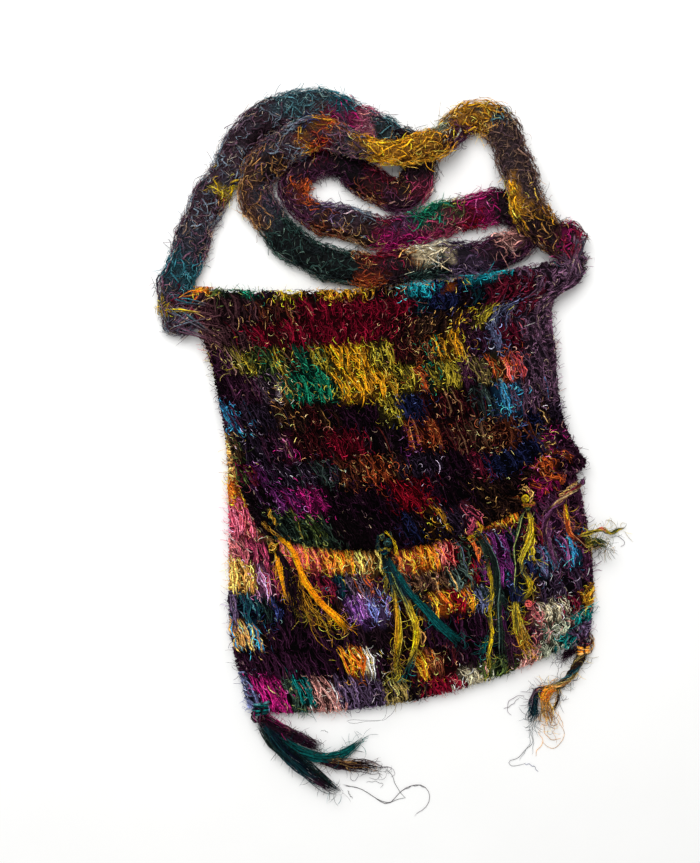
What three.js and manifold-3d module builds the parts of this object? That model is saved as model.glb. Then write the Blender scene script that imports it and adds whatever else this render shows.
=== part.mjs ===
// A crochet handbag lying on its back: a pouch of two panels, a fold-over flap, a long knitted strap
// laid out above it, and yarn tassels. Millimetres, +Z up, the bag's top towards +Y and its face up.
// The origin is on the surface it lies on, under the middle of the pouch.
import * as THREE from "three";
import { mergeVertices } from "three/addons/utils/BufferGeometryUtils.js";
import Module from "manifold-3d";

const wasm = await Module();
wasm.setup();

// Cloth
const clothThick = 4; // bulky yarn worked in tall stitches
const seamGap = 0.4; // between front and back where they are sewn together
const flapClearance = 1; // between the front panel and the flap that lies on it
const pouchCrown = 9; // how far the springy front stands off the back
const crownReach = 48; // from a sewn edge in to the full crown
const mouthDrop = 8; // the front's free top edge, below where the flap's fold begins
const foldSteps = 6;
const acrossSteps = 18;
const rowSteps = 3; // steps between two rows of a table

// Strap
const strapWide = 24;
const strapThick = 13;
const strapArcSteps = 5; // half of the section's sides
const strapSteps = 80;

// Tassels
const strandSides = 7;
const strandSteps = 6;
const restGap = 0.5; // between a strand and the cloth that it lies on
const overhang = { from: 9, to: 26 }; // past the pouch's side, where a strand comes down to the surface

// Rows of stitches across the pouch, from the top fold down to the bottom seam. Each row runs from its
// left end through a middle height to its right end.
const pouchRows = [
  { leftX: -159, leftY: 151, midY: 152, rightX: 132, rightY: 177 },
  { leftX: -157, leftY: 127, midY: 133, rightX: 128, rightY: 158 },
  { leftX: -146, leftY: 96, midY: 109, rightX: 107, rightY: 141 },
  { leftX: -140, leftY: 66, midY: 76, rightX: 109, rightY: 106 },
  { leftX: -134, leftY: 15, midY: 21, rightX: 114, rightY: 58 },
  { leftX: -133, leftY: -52, midY: -50, rightX: 130, rightY: -8 },
  { leftX: -131, leftY: -112, midY: -106, rightX: 138, rightY: -64 },
  { leftX: -118, leftY: -165, midY: -156, rightX: 136, rightY: -109 },
];

// Rows across the flap, from the same fold down to its sagging hem
const flapRows = [
  { leftX: -159, leftY: 151, midY: 152, rightX: 132, rightY: 177 },
  { leftX: -157, leftY: 127, midY: 133, rightX: 128, rightY: 158 },
  { leftX: -146, leftY: 96, midY: 109, rightX: 107, rightY: 141 },
  { leftX: -140, leftY: 66, midY: 76, rightX: 109, rightY: 106 },
  { leftX: -133, leftY: 38, midY: 45, rightX: 111, rightY: 76 },
  { leftX: -124, leftY: 2, midY: 1, rightX: 117, rightY: 46 },
  { leftX: -110, leftY: -30, midY: -38, rightX: 133, rightY: 19 },
];

// The strap's route from the left top corner to the right one. lift is how far its underside is off the
// surface: it rises where the strap passes over itself.
const strapRoute = [
  { x: -170, y: 117, lift: 0 },
  { x: -175, y: 141, lift: 0 },
  { x: -164, y: 185, lift: 0 },
  { x: -135, y: 244, lift: 0 },
  { x: -115, y: 273, lift: 0 },
  { x: -84, y: 289, lift: 0 },
  { x: -51, y: 284, lift: 0 },
  { x: 3, y: 254, lift: 0 },
  { x: 10, y: 241, lift: 0 },
  { x: 6, y: 228, lift: 0 },
  { x: -6, y: 222, lift: 0 },
  { x: -27, y: 231, lift: 0 },
  { x: -50, y: 246, lift: 0 },
  { x: -70, y: 248, lift: 0 },
  { x: -83, y: 238, lift: 0 },
  { x: -85, y: 221, lift: 0 },
  { x: -74, y: 210, lift: 0 },
  { x: -50, y: 201, lift: 0 },
  { x: -10, y: 194, lift: 0 },
  { x: 54, y: 212, lift: 0 },
  { x: 75, y: 212.5, lift: 0 },
  { x: 86, y: 208, lift: 0 },
  { x: 90, y: 194, lift: 0 },
  { x: 80, y: 183, lift: 0 },
  { x: -6, y: 169, lift: 0 },
  { x: -42, y: 166, lift: 0 },
  { x: -83, y: 183, lift: 0 },
  { x: -109, y: 209, lift: 0.3 },
  { x: -114, y: 229, lift: 1 },
  { x: -101, y: 251, lift: 8 },
  { x: -70, y: 265, lift: 14 },
  { x: -12, y: 251, lift: 14 },
  { x: 20, y: 259, lift: 13 },
  { x: 36, y: 273, lift: 4 },
  { x: 55, y: 281, lift: 2 },
  { x: 72, y: 269, lift: 3 },
  { x: 81, y: 242, lift: 9 },
  { x: 89, y: 213, lift: 14 },
  { x: 103, y: 194, lift: 12 },
  { x: 117, y: 188, lift: 6 },
  { x: 132, y: 190, lift: 4 },
];

// Tassels tied along the flap's hem, from left to right. Each hangs from a knot as strands, which taper
// from root to tip in radius and lie on the pouch's front. A strand's route goes on from the knot.
const hemTassels = [
  {
    knot: { x: -101, y: -43, radius: 4 },
    strands: [
      { root: 3, tip: 1.6, route: [[-93, -68], [-86, -86], [-77, -99]] },
      { root: 3, tip: 2.6, route: [[-84, -56], [-77, -70], [-64, -85], [-46, -104]] },
      { root: 2, tip: 1.4, route: [[-82, -80], [-66, -102], [-48, -116]] },
    ],
  },
  {
    knot: { x: -18, y: -51, radius: 4 },
    strands: [
      { root: 3, tip: 2.4, route: [[-14, -70], [-9, -92], [-7, -114], [-6, -146]] },
      { root: 2.6, tip: 2.4, route: [[-2, -69], [12, -87], [28, -104], [40, -114]] },
      { root: 2.4, tip: 1.6, route: [[-4, -80], [5, -100], [4, -118], [-2, -138]] },
    ],
  },
  {
    knot: { x: 49, y: -40, radius: 3.6 },
    strands: [
      { root: 3, tip: 2.4, route: [[60, -66], [61, -86], [61, -108], [62, -131]] },
      { root: 3, tip: 2.4, route: [[66, -70], [67, -92], [70, -110], [74, -128]] },
    ],
  },
  {
    knot: { x: 88, y: -21, radius: 3.6 },
    strands: [
      { root: 3, tip: 2.2, route: [[92, -30], [84, -52], [90, -70], [82, -86], [88, -116]] },
      { root: 2.4, tip: 1.6, route: [[95, -36], [95, -54]] },
    ],
  },
  {
    knot: { x: 136, y: 8, radius: 4 },
    strands: [
      { root: 3, tip: 2.4, route: [[118, -10], [106, -24], [107, -44], [116, -64]] },
      { root: 3, tip: 1.6, route: [[123, -16], [125, -32], [140, -37], [164, -30]] },
    ],
  },
];

// Tassels at the pouch's bottom corners, lying on the surface
const cornerTassels = {
  left: {
    knot: { x: -114, y: -173, radius: 6 },
    strands: [
      { root: 5.5, tip: 3, route: [[-92, -181], [-66, -194]] },
      { root: 5, tip: 2.6, route: [[-96, -190], [-72, -202], [-52, -201], [-34, -190]] },
      { root: 5.5, tip: 3, route: [[-98, -192], [-76, -212], [-51, -226]] },
      { root: 5, tip: 2.4, route: [[-96, -189], [-72, -202], [-54, -205], [-15, -211]] },
    ],
  },
  right: {
    knot: { x: 138, y: -123, radius: 6 },
    strands: [
      { root: 6, tip: 3, route: [[128, -132], [119, -146], [98, -156], [104, -168], [94, -188]] },
    ],
  },
};

const yarn = {
  pouch: "#4a2130",
  flap: "#3a1a28",
  strap: "#33222c",
  tassel: "#8a6a1e",
};

// Value of a table's column at a fractional row, smooth through the rows.
function columnAt(rows, column, place) {
  const at = Math.min(Math.max(place, 0), rows.length - 1);
  const first = Math.min(Math.floor(at), rows.length - 2);
  const near = [-1, 0, 1, 2].map((step) => {
    const index = Math.min(Math.max(first + step, 0), rows.length - 1);
    return rows[index][column];
  });
  const t = at - first;
  const startSlope = (near[2] - near[0]) / 2;
  const endSlope = (near[3] - near[1]) / 2;
  return (
    near[1] * (1 + 2 * t) * (1 - t) ** 2 +
    startSlope * t * (1 - t) ** 2 +
    near[2] * t * t * (3 - 2 * t) +
    endSlope * t * t * (t - 1)
  );
}

// Plan position at a fraction across a row, on the parabola through its ends and its middle height.
function onRow(rows, across, place) {
  const leftX = columnAt(rows, "leftX", place);
  const rightX = columnAt(rows, "rightX", place);
  const y =
    columnAt(rows, "leftY", place) * 2 * (across - 0.5) * (across - 1) +
    columnAt(rows, "midY", place) * 4 * across * (1 - across) +
    columnAt(rows, "rightY", place) * 2 * across * (across - 0.5);
  return new THREE.Vector2(leftX + (rightX - leftX) * across, y);
}

// The pouch's side edge at a height up the bag.
function sideX(columnX, columnY, y) {
  const below = pouchRows.findIndex((row) => row[columnY] < y);
  if (below < 1) return pouchRows[below < 0 ? pouchRows.length - 1 : 0][columnX];
  const upper = pouchRows[below - 1];
  const lower = pouchRows[below];
  const t = (upper[columnY] - y) / (upper[columnY] - lower[columnY]);
  return upper[columnX] + (lower[columnX] - upper[columnX]) * t;
}

function bottomY(x) {
  const last = pouchRows.length - 1;
  const { leftX, rightX } = pouchRows[last];
  const across = Math.min(Math.max((x - leftX) / (rightX - leftX), 0), 1);
  return onRow(pouchRows, across, last).y;
}

function ease(distance) {
  return Math.sin((Math.PI / 2) * Math.min(Math.max(distance / crownReach, 0), 1));
}

// How far the front stands off the back: nothing along the sewn sides and bottom, most in the middle,
// with a slow unevenness.
function crown(x, y) {
  const fromLeft = ease(x - sideX("leftX", "leftY", y));
  const fromRight = ease(sideX("rightX", "rightY", y) - x);
  const fromBottom = ease(y - bottomY(x));
  const uneven = 1 + 0.12 * Math.sin(x / 31 + 0.8) * Math.cos(y / 43);
  return pouchCrown * fromLeft * fromRight * fromBottom * uneven;
}

const frontUnder = (x, y) => clothThick + seamGap + crown(x, y);
const frontTop = (x, y) => frontUnder(x, y) + clothThick;
const flapUnder = (x, y) => frontTop(x, y) + flapClearance;

// The fold at the top: the flap's middle surface turns on a half circle from the back's level up to its
// own, and its outer side reaches the fold row.
function foldAt(across) {
  const edge = onRow(flapRows, across, 0);
  const lowLevel = clothThick / 2;
  const highLevel = flapUnder(edge.x, edge.y) + clothThick / 2;
  const radius = (highLevel - lowLevel) / 2;
  return { x: edge.x, centreY: edge.y - radius - clothThick / 2, radius, level: lowLevel + radius };
}

// A sheet: a box of fine cells, each corner of which goes where place(across, along, through) says.
function sheet(across, along, place) {
  const geometry = new THREE.BoxGeometry(1, 1, 1, across, along, 1);
  const corners = geometry.getAttribute("position");
  for (let i = 0; i < corners.count; i++) {
    const spot = place(corners.getX(i) + 0.5, 0.5 - corners.getY(i), corners.getZ(i) + 0.5);
    corners.setXYZ(i, spot.x, spot.y, spot.z);
  }
  geometry.computeVertexNormals();
  return geometry;
}

// A tapered strand along a route, as a closed cylinder bent onto its curve.
function strand(points, rootRadius, tipRadius) {
  const curve = new THREE.CatmullRomCurve3(points, false, "centripetal");
  const geometry = new THREE.CylinderGeometry(1, 1, 1, strandSides, strandSteps);
  const corners = geometry.getAttribute("position");
  for (let i = 0; i < corners.count; i++) {
    const t = corners.getY(i) + 0.5;
    const ahead = curve.getTangent(t);
    const side = new THREE.Vector3(ahead.y, -ahead.x, 0).normalize();
    const up = new THREE.Vector3().crossVectors(side, ahead);
    const radius = THREE.MathUtils.lerp(rootRadius, tipRadius, t);
    const spot = curve
      .getPoint(t)
      .addScaledVector(side, corners.getX(i) * radius)
      .addScaledVector(up, corners.getZ(i) * radius);
    corners.setXYZ(i, spot.x, spot.y, spot.z);
  }
  return geometry;
}

function toSolid(geometry) {
  const bare = geometry.clone();
  bare.deleteAttribute("normal");
  bare.deleteAttribute("uv");
  const merged = mergeVertices(bare);
  const vertProperties = merged.getAttribute("position").array;
  const triVerts = new Uint32Array(merged.index.array);
  return new wasm.Manifold(new wasm.Mesh({ numProp: 3, vertProperties, triVerts }));
}

function toGeometry(solid) {
  const mesh = solid.getMesh();
  const geometry = new THREE.BufferGeometry();
  geometry.setAttribute("position", new THREE.BufferAttribute(mesh.vertProperties, 3));
  geometry.setIndex(new THREE.BufferAttribute(mesh.triVerts, 1));
  geometry.computeVertexNormals();
  return geometry;
}

// Height of what lies under a strand: the pouch's front, falling to the surface past its sides.
function restHeight(x, y) {
  const outside = Math.max(
    sideX("leftX", "leftY", y) - x,
    x - sideX("rightX", "rightY", y),
    bottomY(x) - y,
  );
  const fall = THREE.MathUtils.smoothstep(outside, overhang.from, overhang.to);
  return frontTop(x, y) * (1 - fall);
}

// A tassel: strands joined at their knot.
function tassel({ knot, strands }, levelUnder) {
  const lift = (x, y, radius) => new THREE.Vector3(x, y, levelUnder(x, y) + radius + restGap);
  const { x: knotX, y: knotY, z: knotZ } = lift(knot.x, knot.y, knot.radius);
  const ball = new THREE.SphereGeometry(knot.radius, 8, 6).translate(knotX, knotY, knotZ);
  let whole = toSolid(ball);
  for (const { root, tip, route } of strands) {
    const thickest = Math.max(root, tip);
    const points = [[knot.x, knot.y], ...route].map(([x, y]) => lift(x, y, thickest));
    whole = whole.add(toSolid(strand(points, root, tip)));
  }
  return toGeometry(whole);
}

function backPanel() {
  return sheet(acrossSteps, (pouchRows.length - 1) * rowSteps, (across, along, through) => {
    const place = along * (pouchRows.length - 1);
    const spot = onRow(pouchRows, across, place);
    const topEdge = foldAt(across).centreY - seamGap;
    return new THREE.Vector3(spot.x, Math.min(spot.y, topEdge - along), through * clothThick);
  });
}

function frontPanel() {
  return sheet(acrossSteps, (pouchRows.length - 1) * rowSteps, (across, along, through) => {
    const spot = onRow(pouchRows, across, along * (pouchRows.length - 1));
    const y = Math.min(spot.y, foldAt(across).centreY - mouthDrop - along);
    return new THREE.Vector3(spot.x, y, frontUnder(spot.x, y) + through * clothThick);
  });
}

function flap() {
  const lyingSteps = (flapRows.length - 1) * rowSteps;
  const steps = foldSteps + lyingSteps;
  return sheet(acrossSteps, steps, (across, along, through) => {
    const fold = foldAt(across);
    const step = along * steps;
    if (step <= foldSteps) {
      const turn = Math.PI * (step / foldSteps - 0.5);
      const radius = fold.radius + (through - 0.5) * clothThick;
      return new THREE.Vector3(
        fold.x,
        fold.centreY + radius * Math.cos(turn),
        fold.level + radius * Math.sin(turn),
      );
    }
    const place = ((step - foldSteps) / lyingSteps) * (flapRows.length - 1);
    const spot = onRow(flapRows, across, place);
    const y = Math.min(spot.y, fold.centreY - (step - foldSteps));
    return new THREE.Vector3(spot.x, y, flapUnder(spot.x, y) + through * clothThick);
  });
}

function strap() {
  const points = strapRoute.map(({ x, y, lift }) => new THREE.Vector3(x, y, lift + strapThick / 2));
  const section = new THREE.Shape();
  section.absellipse(0, 0, strapThick / 2, strapWide / 2, 0, 2 * Math.PI);
  return new THREE.ExtrudeGeometry(section, {
    steps: strapSteps,
    curveSegments: strapArcSteps,
    bevelEnabled: false,
    extrudePath: new THREE.CatmullRomCurve3(points, false, "centripetal"),
  });
}

const bag = new THREE.Group();

function add(name, geometry, color) {
  const material = new THREE.MeshStandardMaterial({ color, roughness: 0.95, metalness: 0 });
  const mesh = new THREE.Mesh(geometry, material);
  mesh.name = name;
  bag.add(mesh);
}

add("back_panel", backPanel(), yarn.pouch);
add("front_panel", frontPanel(), yarn.pouch);
add("flap", flap(), yarn.flap);
add("strap", strap(), yarn.strap);
hemTassels.forEach((shape, i) => add(`hem_tassel_${i + 1}`, tassel(shape, restHeight), yarn.tassel));
for (const [side, shape] of Object.entries(cornerTassels)) {
  add(`corner_tassel_${side}`, tassel(shape, () => -restGap), yarn.tassel);
}

export default bag;
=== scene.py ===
import math

import bmesh
import bpy
import numpy as np
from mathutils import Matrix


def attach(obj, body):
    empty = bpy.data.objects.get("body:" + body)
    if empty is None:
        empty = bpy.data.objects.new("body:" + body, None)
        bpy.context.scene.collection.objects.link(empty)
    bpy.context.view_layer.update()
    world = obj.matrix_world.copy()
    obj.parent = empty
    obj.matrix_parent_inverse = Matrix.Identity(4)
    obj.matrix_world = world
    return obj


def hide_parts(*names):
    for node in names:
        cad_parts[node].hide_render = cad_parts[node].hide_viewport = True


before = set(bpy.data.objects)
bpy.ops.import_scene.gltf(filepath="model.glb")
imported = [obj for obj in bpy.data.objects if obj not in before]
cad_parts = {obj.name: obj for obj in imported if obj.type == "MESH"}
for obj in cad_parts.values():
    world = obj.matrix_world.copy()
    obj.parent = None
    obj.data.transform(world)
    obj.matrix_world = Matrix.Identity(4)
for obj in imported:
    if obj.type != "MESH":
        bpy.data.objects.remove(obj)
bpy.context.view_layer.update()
dice = np.random.default_rng(20)
scene = bpy.context.scene
print("frame loaded")

# straight down on the lying bag
viewFrom = {
    "imageTall": 863,
    "pixel": 0.00075,  # metres of cloth across one pixel
    "aim": (-0.0435, 0.0439, 0.012),
    "distance": 1.1,
}


def makeCamera():
    data = bpy.data.cameras.new("flatLayCamera")
    data.sensor_fit = "VERTICAL"
    halfTall = 0.5 * viewFrom["imageTall"] * viewFrom["pixel"]
    data.lens = 0.5 * data.sensor_height * viewFrom["distance"] / halfTall
    camera = bpy.data.objects.new("flatLayCamera", data)
    aimX, aimY, aimZ = viewFrom["aim"]
    camera.location = (aimX, aimY, aimZ + viewFrom["distance"])
    scene.collection.objects.link(camera)
    scene.camera = camera


makeCamera()
print("camera set")

# dyed yarn shades: main ply, second ply, stray fleck, and how often a fleck shows
yarnShades = {
    "black": ("#1d0f16", "#2c1a24", "#8a7560", 0.10),
    "blackPlum": ("#32152a", "#1c0d18", "#7a5c62", 0.04),
    "plum": ("#4e2740", "#361a2c", "#967068", 0.14),
    "tweed": ("#4e3034", "#3a1e26", "#c09860", 0.26),
    "umber": ("#3c251c", "#28161a", "#c08a4c", 0.30),
    "umberRed": ("#4e181c", "#2e1118", "#b8845c", 0.25),
    "maroon": ("#760e24", "#560a1a", "#a0645c", 0.14),
    "wine": ("#641428", "#3c1020", "#a84c5a", 0.12),
    "crimson": ("#760a1a", "#560614", "#a82c3c", 0.10),
    "magenta": ("#a61c68", "#781650", "#d068a4", 0.16),
    "purple": ("#64245e", "#441a42", "#a474a4", 0.16),
    "lilac": ("#965ca6", "#643c7c", "#ccaccc", 0.20),
    "lilacDark": ("#3a2a3e", "#241a28", "#a494a8", 0.20),
    "lilacBlue": ("#6a72ac", "#705488", "#a8b8d4", 0.20),
    "slate": ("#5e6486", "#3e3e58", "#aaaabc", 0.16),
    "slatePlum": ("#5a4862", "#3c2c40", "#a48c94", 0.16),
    "navy": ("#222850", "#15162e", "#5c6ca4", 0.10),
    "sky": ("#368cb8", "#285c80", "#70acc8", 0.16),
    "skyDull": ("#34708c", "#28465c", "#6c9cb0", 0.16),
    "turquoise": ("#22a2b0", "#157684", "#64ccd0", 0.16),
    "teal": ("#0f706c", "#0b4e50", "#40a898", 0.12),
    "tealDeep": ("#0c5c5c", "#0a4246", "#2e8a80", 0.10),
    "tealNavy": ("#143c44", "#161a32", "#4c848c", 0.14),
    "emerald": ("#1a7e5c", "#0e463a", "#a4a03c", 0.18),
    "moss": ("#50602f", "#2e3c26", "#b89e3e", 0.24),
    "greenDark": ("#34463a", "#1c2622", "#98a45c", 0.24),
    "greenBlack": ("#223632", "#181e20", "#5e786c", 0.14),
    "slateGreen": ("#475852", "#2c3636", "#8c9c8c", 0.16),
    "olive": ("#a08c28", "#544a20", "#d0b848", 0.28),
    "mustard": ("#e09a1a", "#90601a", "#f4c850", 0.20),
    "yellow": ("#dab014", "#94781a", "#f0d850", 0.22),
    "amber": ("#fa9c10", "#ec8410", "#fcb43c", 0.14),
    "gold": ("#bc8420", "#6c4418", "#e8b84e", 0.22),
    "orange": ("#f28e22", "#bc5a1c", "#fab85e", 0.18),
    "orangeCoral": ("#ec7a2c", "#b84440", "#fab462", 0.20),
    "coral": ("#de5c52", "#bc444a", "#f49472", 0.18),
    "pink": ("#d85a6c", "#a83c58", "#f0969c", 0.18),
    "maroonPink": ("#923450", "#602034", "#dc8e84", 0.22),
    "rust": ("#b04e20", "#702c1c", "#e49452", 0.20),
    "rustDark": ("#8c3c1e", "#541e1a", "#d88c4e", 0.36),
    "rustTan": ("#683420", "#3e1a1a", "#d49e60", 0.38),
    "tan": ("#cc9852", "#90643a", "#eccc92", 0.24),
    "tanBrown": ("#644632", "#3c2620", "#d0a464", 0.34),
    "tanGold": ("#e0a452", "#94642e", "#f6d08e", 0.22),
    "tanOlive": ("#806e3e", "#4c422a", "#ccb06a", 0.26),
    "cream": ("#dcccaa", "#ac9c7c", "#f4ecd8", 0.30),
    "greyCream": ("#bcb092", "#8c8068", "#dcd0b4", 0.26),
    "greyGreen": ("#989c86", "#6c705e", "#ccc8b0", 0.22),
    "rose": ("#be6a6a", "#904a50", "#e4a89c", 0.20),
    "pinkBrown": ("#b07a72", "#805450", "#dcaaa0", 0.24),
    "mauve": ("#703e64", "#4c2648", "#ac7ca0", 0.18),
    "lilacPink": ("#bc7c9c", "#905478", "#e4b4bc", 0.22),
    "greyPlum": ("#604e5c", "#402e3c", "#a49494", 0.18),
    "plumGrey": ("#6e4c64", "#503c4e", "#a48c7c", 0.16),
    "umberMix": ("#584238", "#443236", "#a48464", 0.22),
    "slateMix": ("#5c6874", "#48323e", "#a09286", 0.24),
    "plumMix": ("#5a3c4c", "#3a3a46", "#a08472", 0.24),
    "brownMix": ("#8a6038", "#4e3430", "#cc9c60", 0.34),
    "tealDull": ("#2c6874", "#204852", "#60a0a8", 0.16),
    "tealGrey": ("#40666e", "#32424c", "#80a09c", 0.18),
    "magentaRed": ("#941658", "#6a1040", "#cc5c90", 0.14),
    "pinkDull": ("#b8687c", "#8a485c", "#dca0a8", 0.20),
}
shadeNames = list(yarnShades)
# shades darker than fullAt sink further; flecks are dimmed, and strands picked to carry painted shade are
# darkened
dyeDepth = {"fullAt": 0.5, "groundSink": 0.4, "fleck": 0.75, "paintedShadeLight": 0.4, "limits": (0.001, 0.95)}
# how a piece's strands share a shade: second ply, flecks, share of strands darkened as painted shade,
# unevenness, lightness, sinking
flapMix = {"second": 0.35, "fleck": 0.08, "paintedShadeShare": 0.34, "spread": 0.34, "light": 1.08, "sink": 0.36}
flapFuzzMix = {"second": 0.30, "fleck": 0.50, "paintedShadeShare": 0.16, "spread": 0.44, "light": 2.1, "sink": 0.36}
pouchMix = {"second": 0.35, "fleck": 0.10, "paintedShadeShare": 0.22, "spread": 0.32, "light": 2.0, "sink": 0.24}
pouchFuzzMix = {"second": 0.30, "fleck": 0.60, "paintedShadeShare": 0.14, "spread": 0.44, "light": 2.4, "sink": 0.24}
strapMix = {"second": 0.40, "fleck": 0.15, "paintedShadeShare": 0.08, "spread": 0.28, "light": 1.3, "sink": 0.0}
strapFuzzMix = {"second": 0.40, "fleck": 0.80, "paintedShadeShare": 0.08, "spread": 0.35, "light": 1.5, "sink": 0.0}
threadMix = {"second": 0.30, "fleck": 0.5, "paintedShadeShare": 0.12, "spread": 0.30, "light": 1.25, "sink": 0.3}
hairMix = {"second": 0.15, "fleck": 1.0, "paintedShadeShare": 0.10, "spread": 0.45, "light": 1.2, "sink": 0.3}


# linear colour from an sRGB code
def hexTint(code):
    parts = [int(code[i:i + 2], 16) / 255 for i in (1, 3, 5)]
    return [c / 12.92 if c < 0.04045 else ((c + 0.055) / 1.055) ** 2.4 for c in parts]


shadeTints = np.array([[hexTint(code) for code in shade[:3]] for shade in yarnShades.values()])
brightest = shadeTints.max(axis=2, keepdims=True)
shadeDepths = np.clip(brightest / dyeDepth["fullAt"], 0, 1)
shadeTints[:, 2] *= dyeDepth["fleck"]
fleckShares = np.array([shade[3] for shade in yarnShades.values()])
runEnd = 0.9999  # the last place along a run


# a colour for each strand, or for each point of it, from its shade
def pickTints(shades, mix):
    count = len(shades)
    usual = shades.reshape(count, -1)[:, 0]
    roll = dice.random(count)
    part = np.where(roll > 1 - mix["second"], 1, 0)
    part = np.where(roll < fleckShares[usual] * mix["fleck"], 2, part)
    lightness = mix["light"] * np.exp(dice.normal(0, mix["spread"], count))
    # painted shade: a share of the strands is darkened, as if lying in shadow between its neighbours
    lightness[dice.random(count) < mix["paintedShadeShare"]] *= dyeDepth["paintedShadeLight"]
    if shades.ndim == 2:
        part = part[:, None]
        lightness = lightness[:, None]
    tints = shadeTints[shades, part] * shadeDepths[shades, part] ** mix["sink"]
    return np.clip(tints * lightness[..., None], *dyeDepth["limits"])


# a run of dyed yarn, written as shade and length in turn
def readRun(text):
    words = text.split()
    lengths = np.array([float(word) for word in words[1::2]])
    shades = np.array([shadeNames.index(word) for word in words[0::2]])
    return shades, np.cumsum(lengths) / lengths.sum()


def shadeInRun(run, along):
    shades, ends = run
    return shades[np.searchsorted(ends, np.clip(along, 0, runEnd))]


def shadeInRows(runs, row, across):
    row = np.clip(row, 0, len(runs) - 1)
    found = np.zeros(len(row), int)
    for index, run in enumerate(runs):
        mine = row == index
        found[mine] = shadeInRun(run, across[mine])
    return found


# what all strands share, in metres, radians and shares
strandMake = {
    "sides": 3,
    "clearOfFloor": 0.0002,
    "cellMargin": 0.1,  # of a strand's cell in the flat map
    "layLength": 0.01,  # fibre streaks repeat along about this much yarn
    "layShift": 40,
    "crimpReach": (0.3, 1.5),
    "crimpUpward": 0.6,
    "mostCurl": 4.6,
    "steep": 0.7,  # lines steeper than this take another guide for their sides
}
# how uneven strands are in thickness, and how thick their ends stay
strandTapers = {
    "stitch": (0.25, 0.45),
    "yarn": (0.25, 0.5),
    "fibre": (0.3, 0.5),
    "knot": (0.3, 0.6),
    "ring": (0.2, 0.8),
    "loose": (0.15, 0.6),
}
tiny = 1e-12


# a smooth line through a few points, for many lines at once
def throughPoints(knots, count):
    first = 2 * knots[:, :1] - knots[:, 1:2]
    last = 2 * knots[:, -1:] - knots[:, -2:-1]
    padded = np.concatenate([first, knots, last], axis=1)
    spans = knots.shape[1] - 1
    place = np.linspace(0, spans, count)
    start = np.minimum(place.astype(int), spans - 1)
    t = (place - start)[None, :, None]
    a, b, c, d = (padded[:, start + step] for step in range(4))
    return 0.5 * (2 * b + (c - a) * t + (2 * a - 5 * b + 4 * c - d) * t**2 + (3 * b - a - 3 * c + d) * t**3)


def lineFrames(lines):
    ahead = np.gradient(lines, axis=1)
    ahead /= np.linalg.norm(ahead, axis=2, keepdims=True) + tiny
    steep = np.abs(ahead[:, :, 2]).mean(axis=1) > strandMake["steep"]
    guide = np.where(steep[:, None], (1.0, 0.0, 0.0), (0.0, 0.0, 1.0))[:, None, :]
    side = np.cross(ahead, np.broadcast_to(guide, ahead.shape))
    side /= np.linalg.norm(side, axis=2, keepdims=True) + tiny
    return side, np.cross(ahead, side)


# thin plies twisted round each line
def plied(lines, work):
    side, up = lineFrames(lines)
    start = dice.random((len(lines), 1, 1)) * 2 * math.pi
    along = np.linspace(0, 1, lines.shape[1])[None, :, None]
    turned = []
    for ply in range(work["plies"]):
        angle = start + 2 * math.pi * (ply / work["plies"] + work["plyTurns"] * along)
        turned.append(lines + work["plySpread"] * (np.cos(angle) * side + np.sin(angle) * up))
    return np.concatenate(turned)


# strands that wander off their lines, as crimped wool does
def crimped(lines, amount, waves):
    side, up = lineFrames(lines)
    along = np.linspace(0, 1, lines.shape[1])[None, :, None]
    start = dice.random((2, len(lines), 1, 1)) * 2 * math.pi
    reach = amount * dice.uniform(*strandMake["crimpReach"], (2, len(lines), 1, 1))
    swing = reach * np.sin(2 * math.pi * waves * along + start)
    return lines + swing[0] * side + strandMake["crimpUpward"] * swing[1] * up


# faces of one closed strand, with each corner's place along and around it
def strandPattern(points, sides):
    rings = points - 2
    tip = 1 + rings * sides
    faces = []
    for i in range(sides):
        j = i + 1
        faces.append([(0, 0, i + 0.5), (1 + j % sides, 1, j), (1 + i, 1, i)])
        for ring in range(rings - 1):
            low = 1 + ring * sides
            high = low + sides
            faces.append([
                (low + i, ring + 1, i),
                (low + j % sides, ring + 1, j),
                (high + j % sides, ring + 2, j),
                (high + i, ring + 2, i),
            ])
        end = tip - sides
        faces.append([(tip, points - 1, i + 0.5), (end + i, rings, i), (end + j % sides, rings, j)])
    return faces


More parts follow.
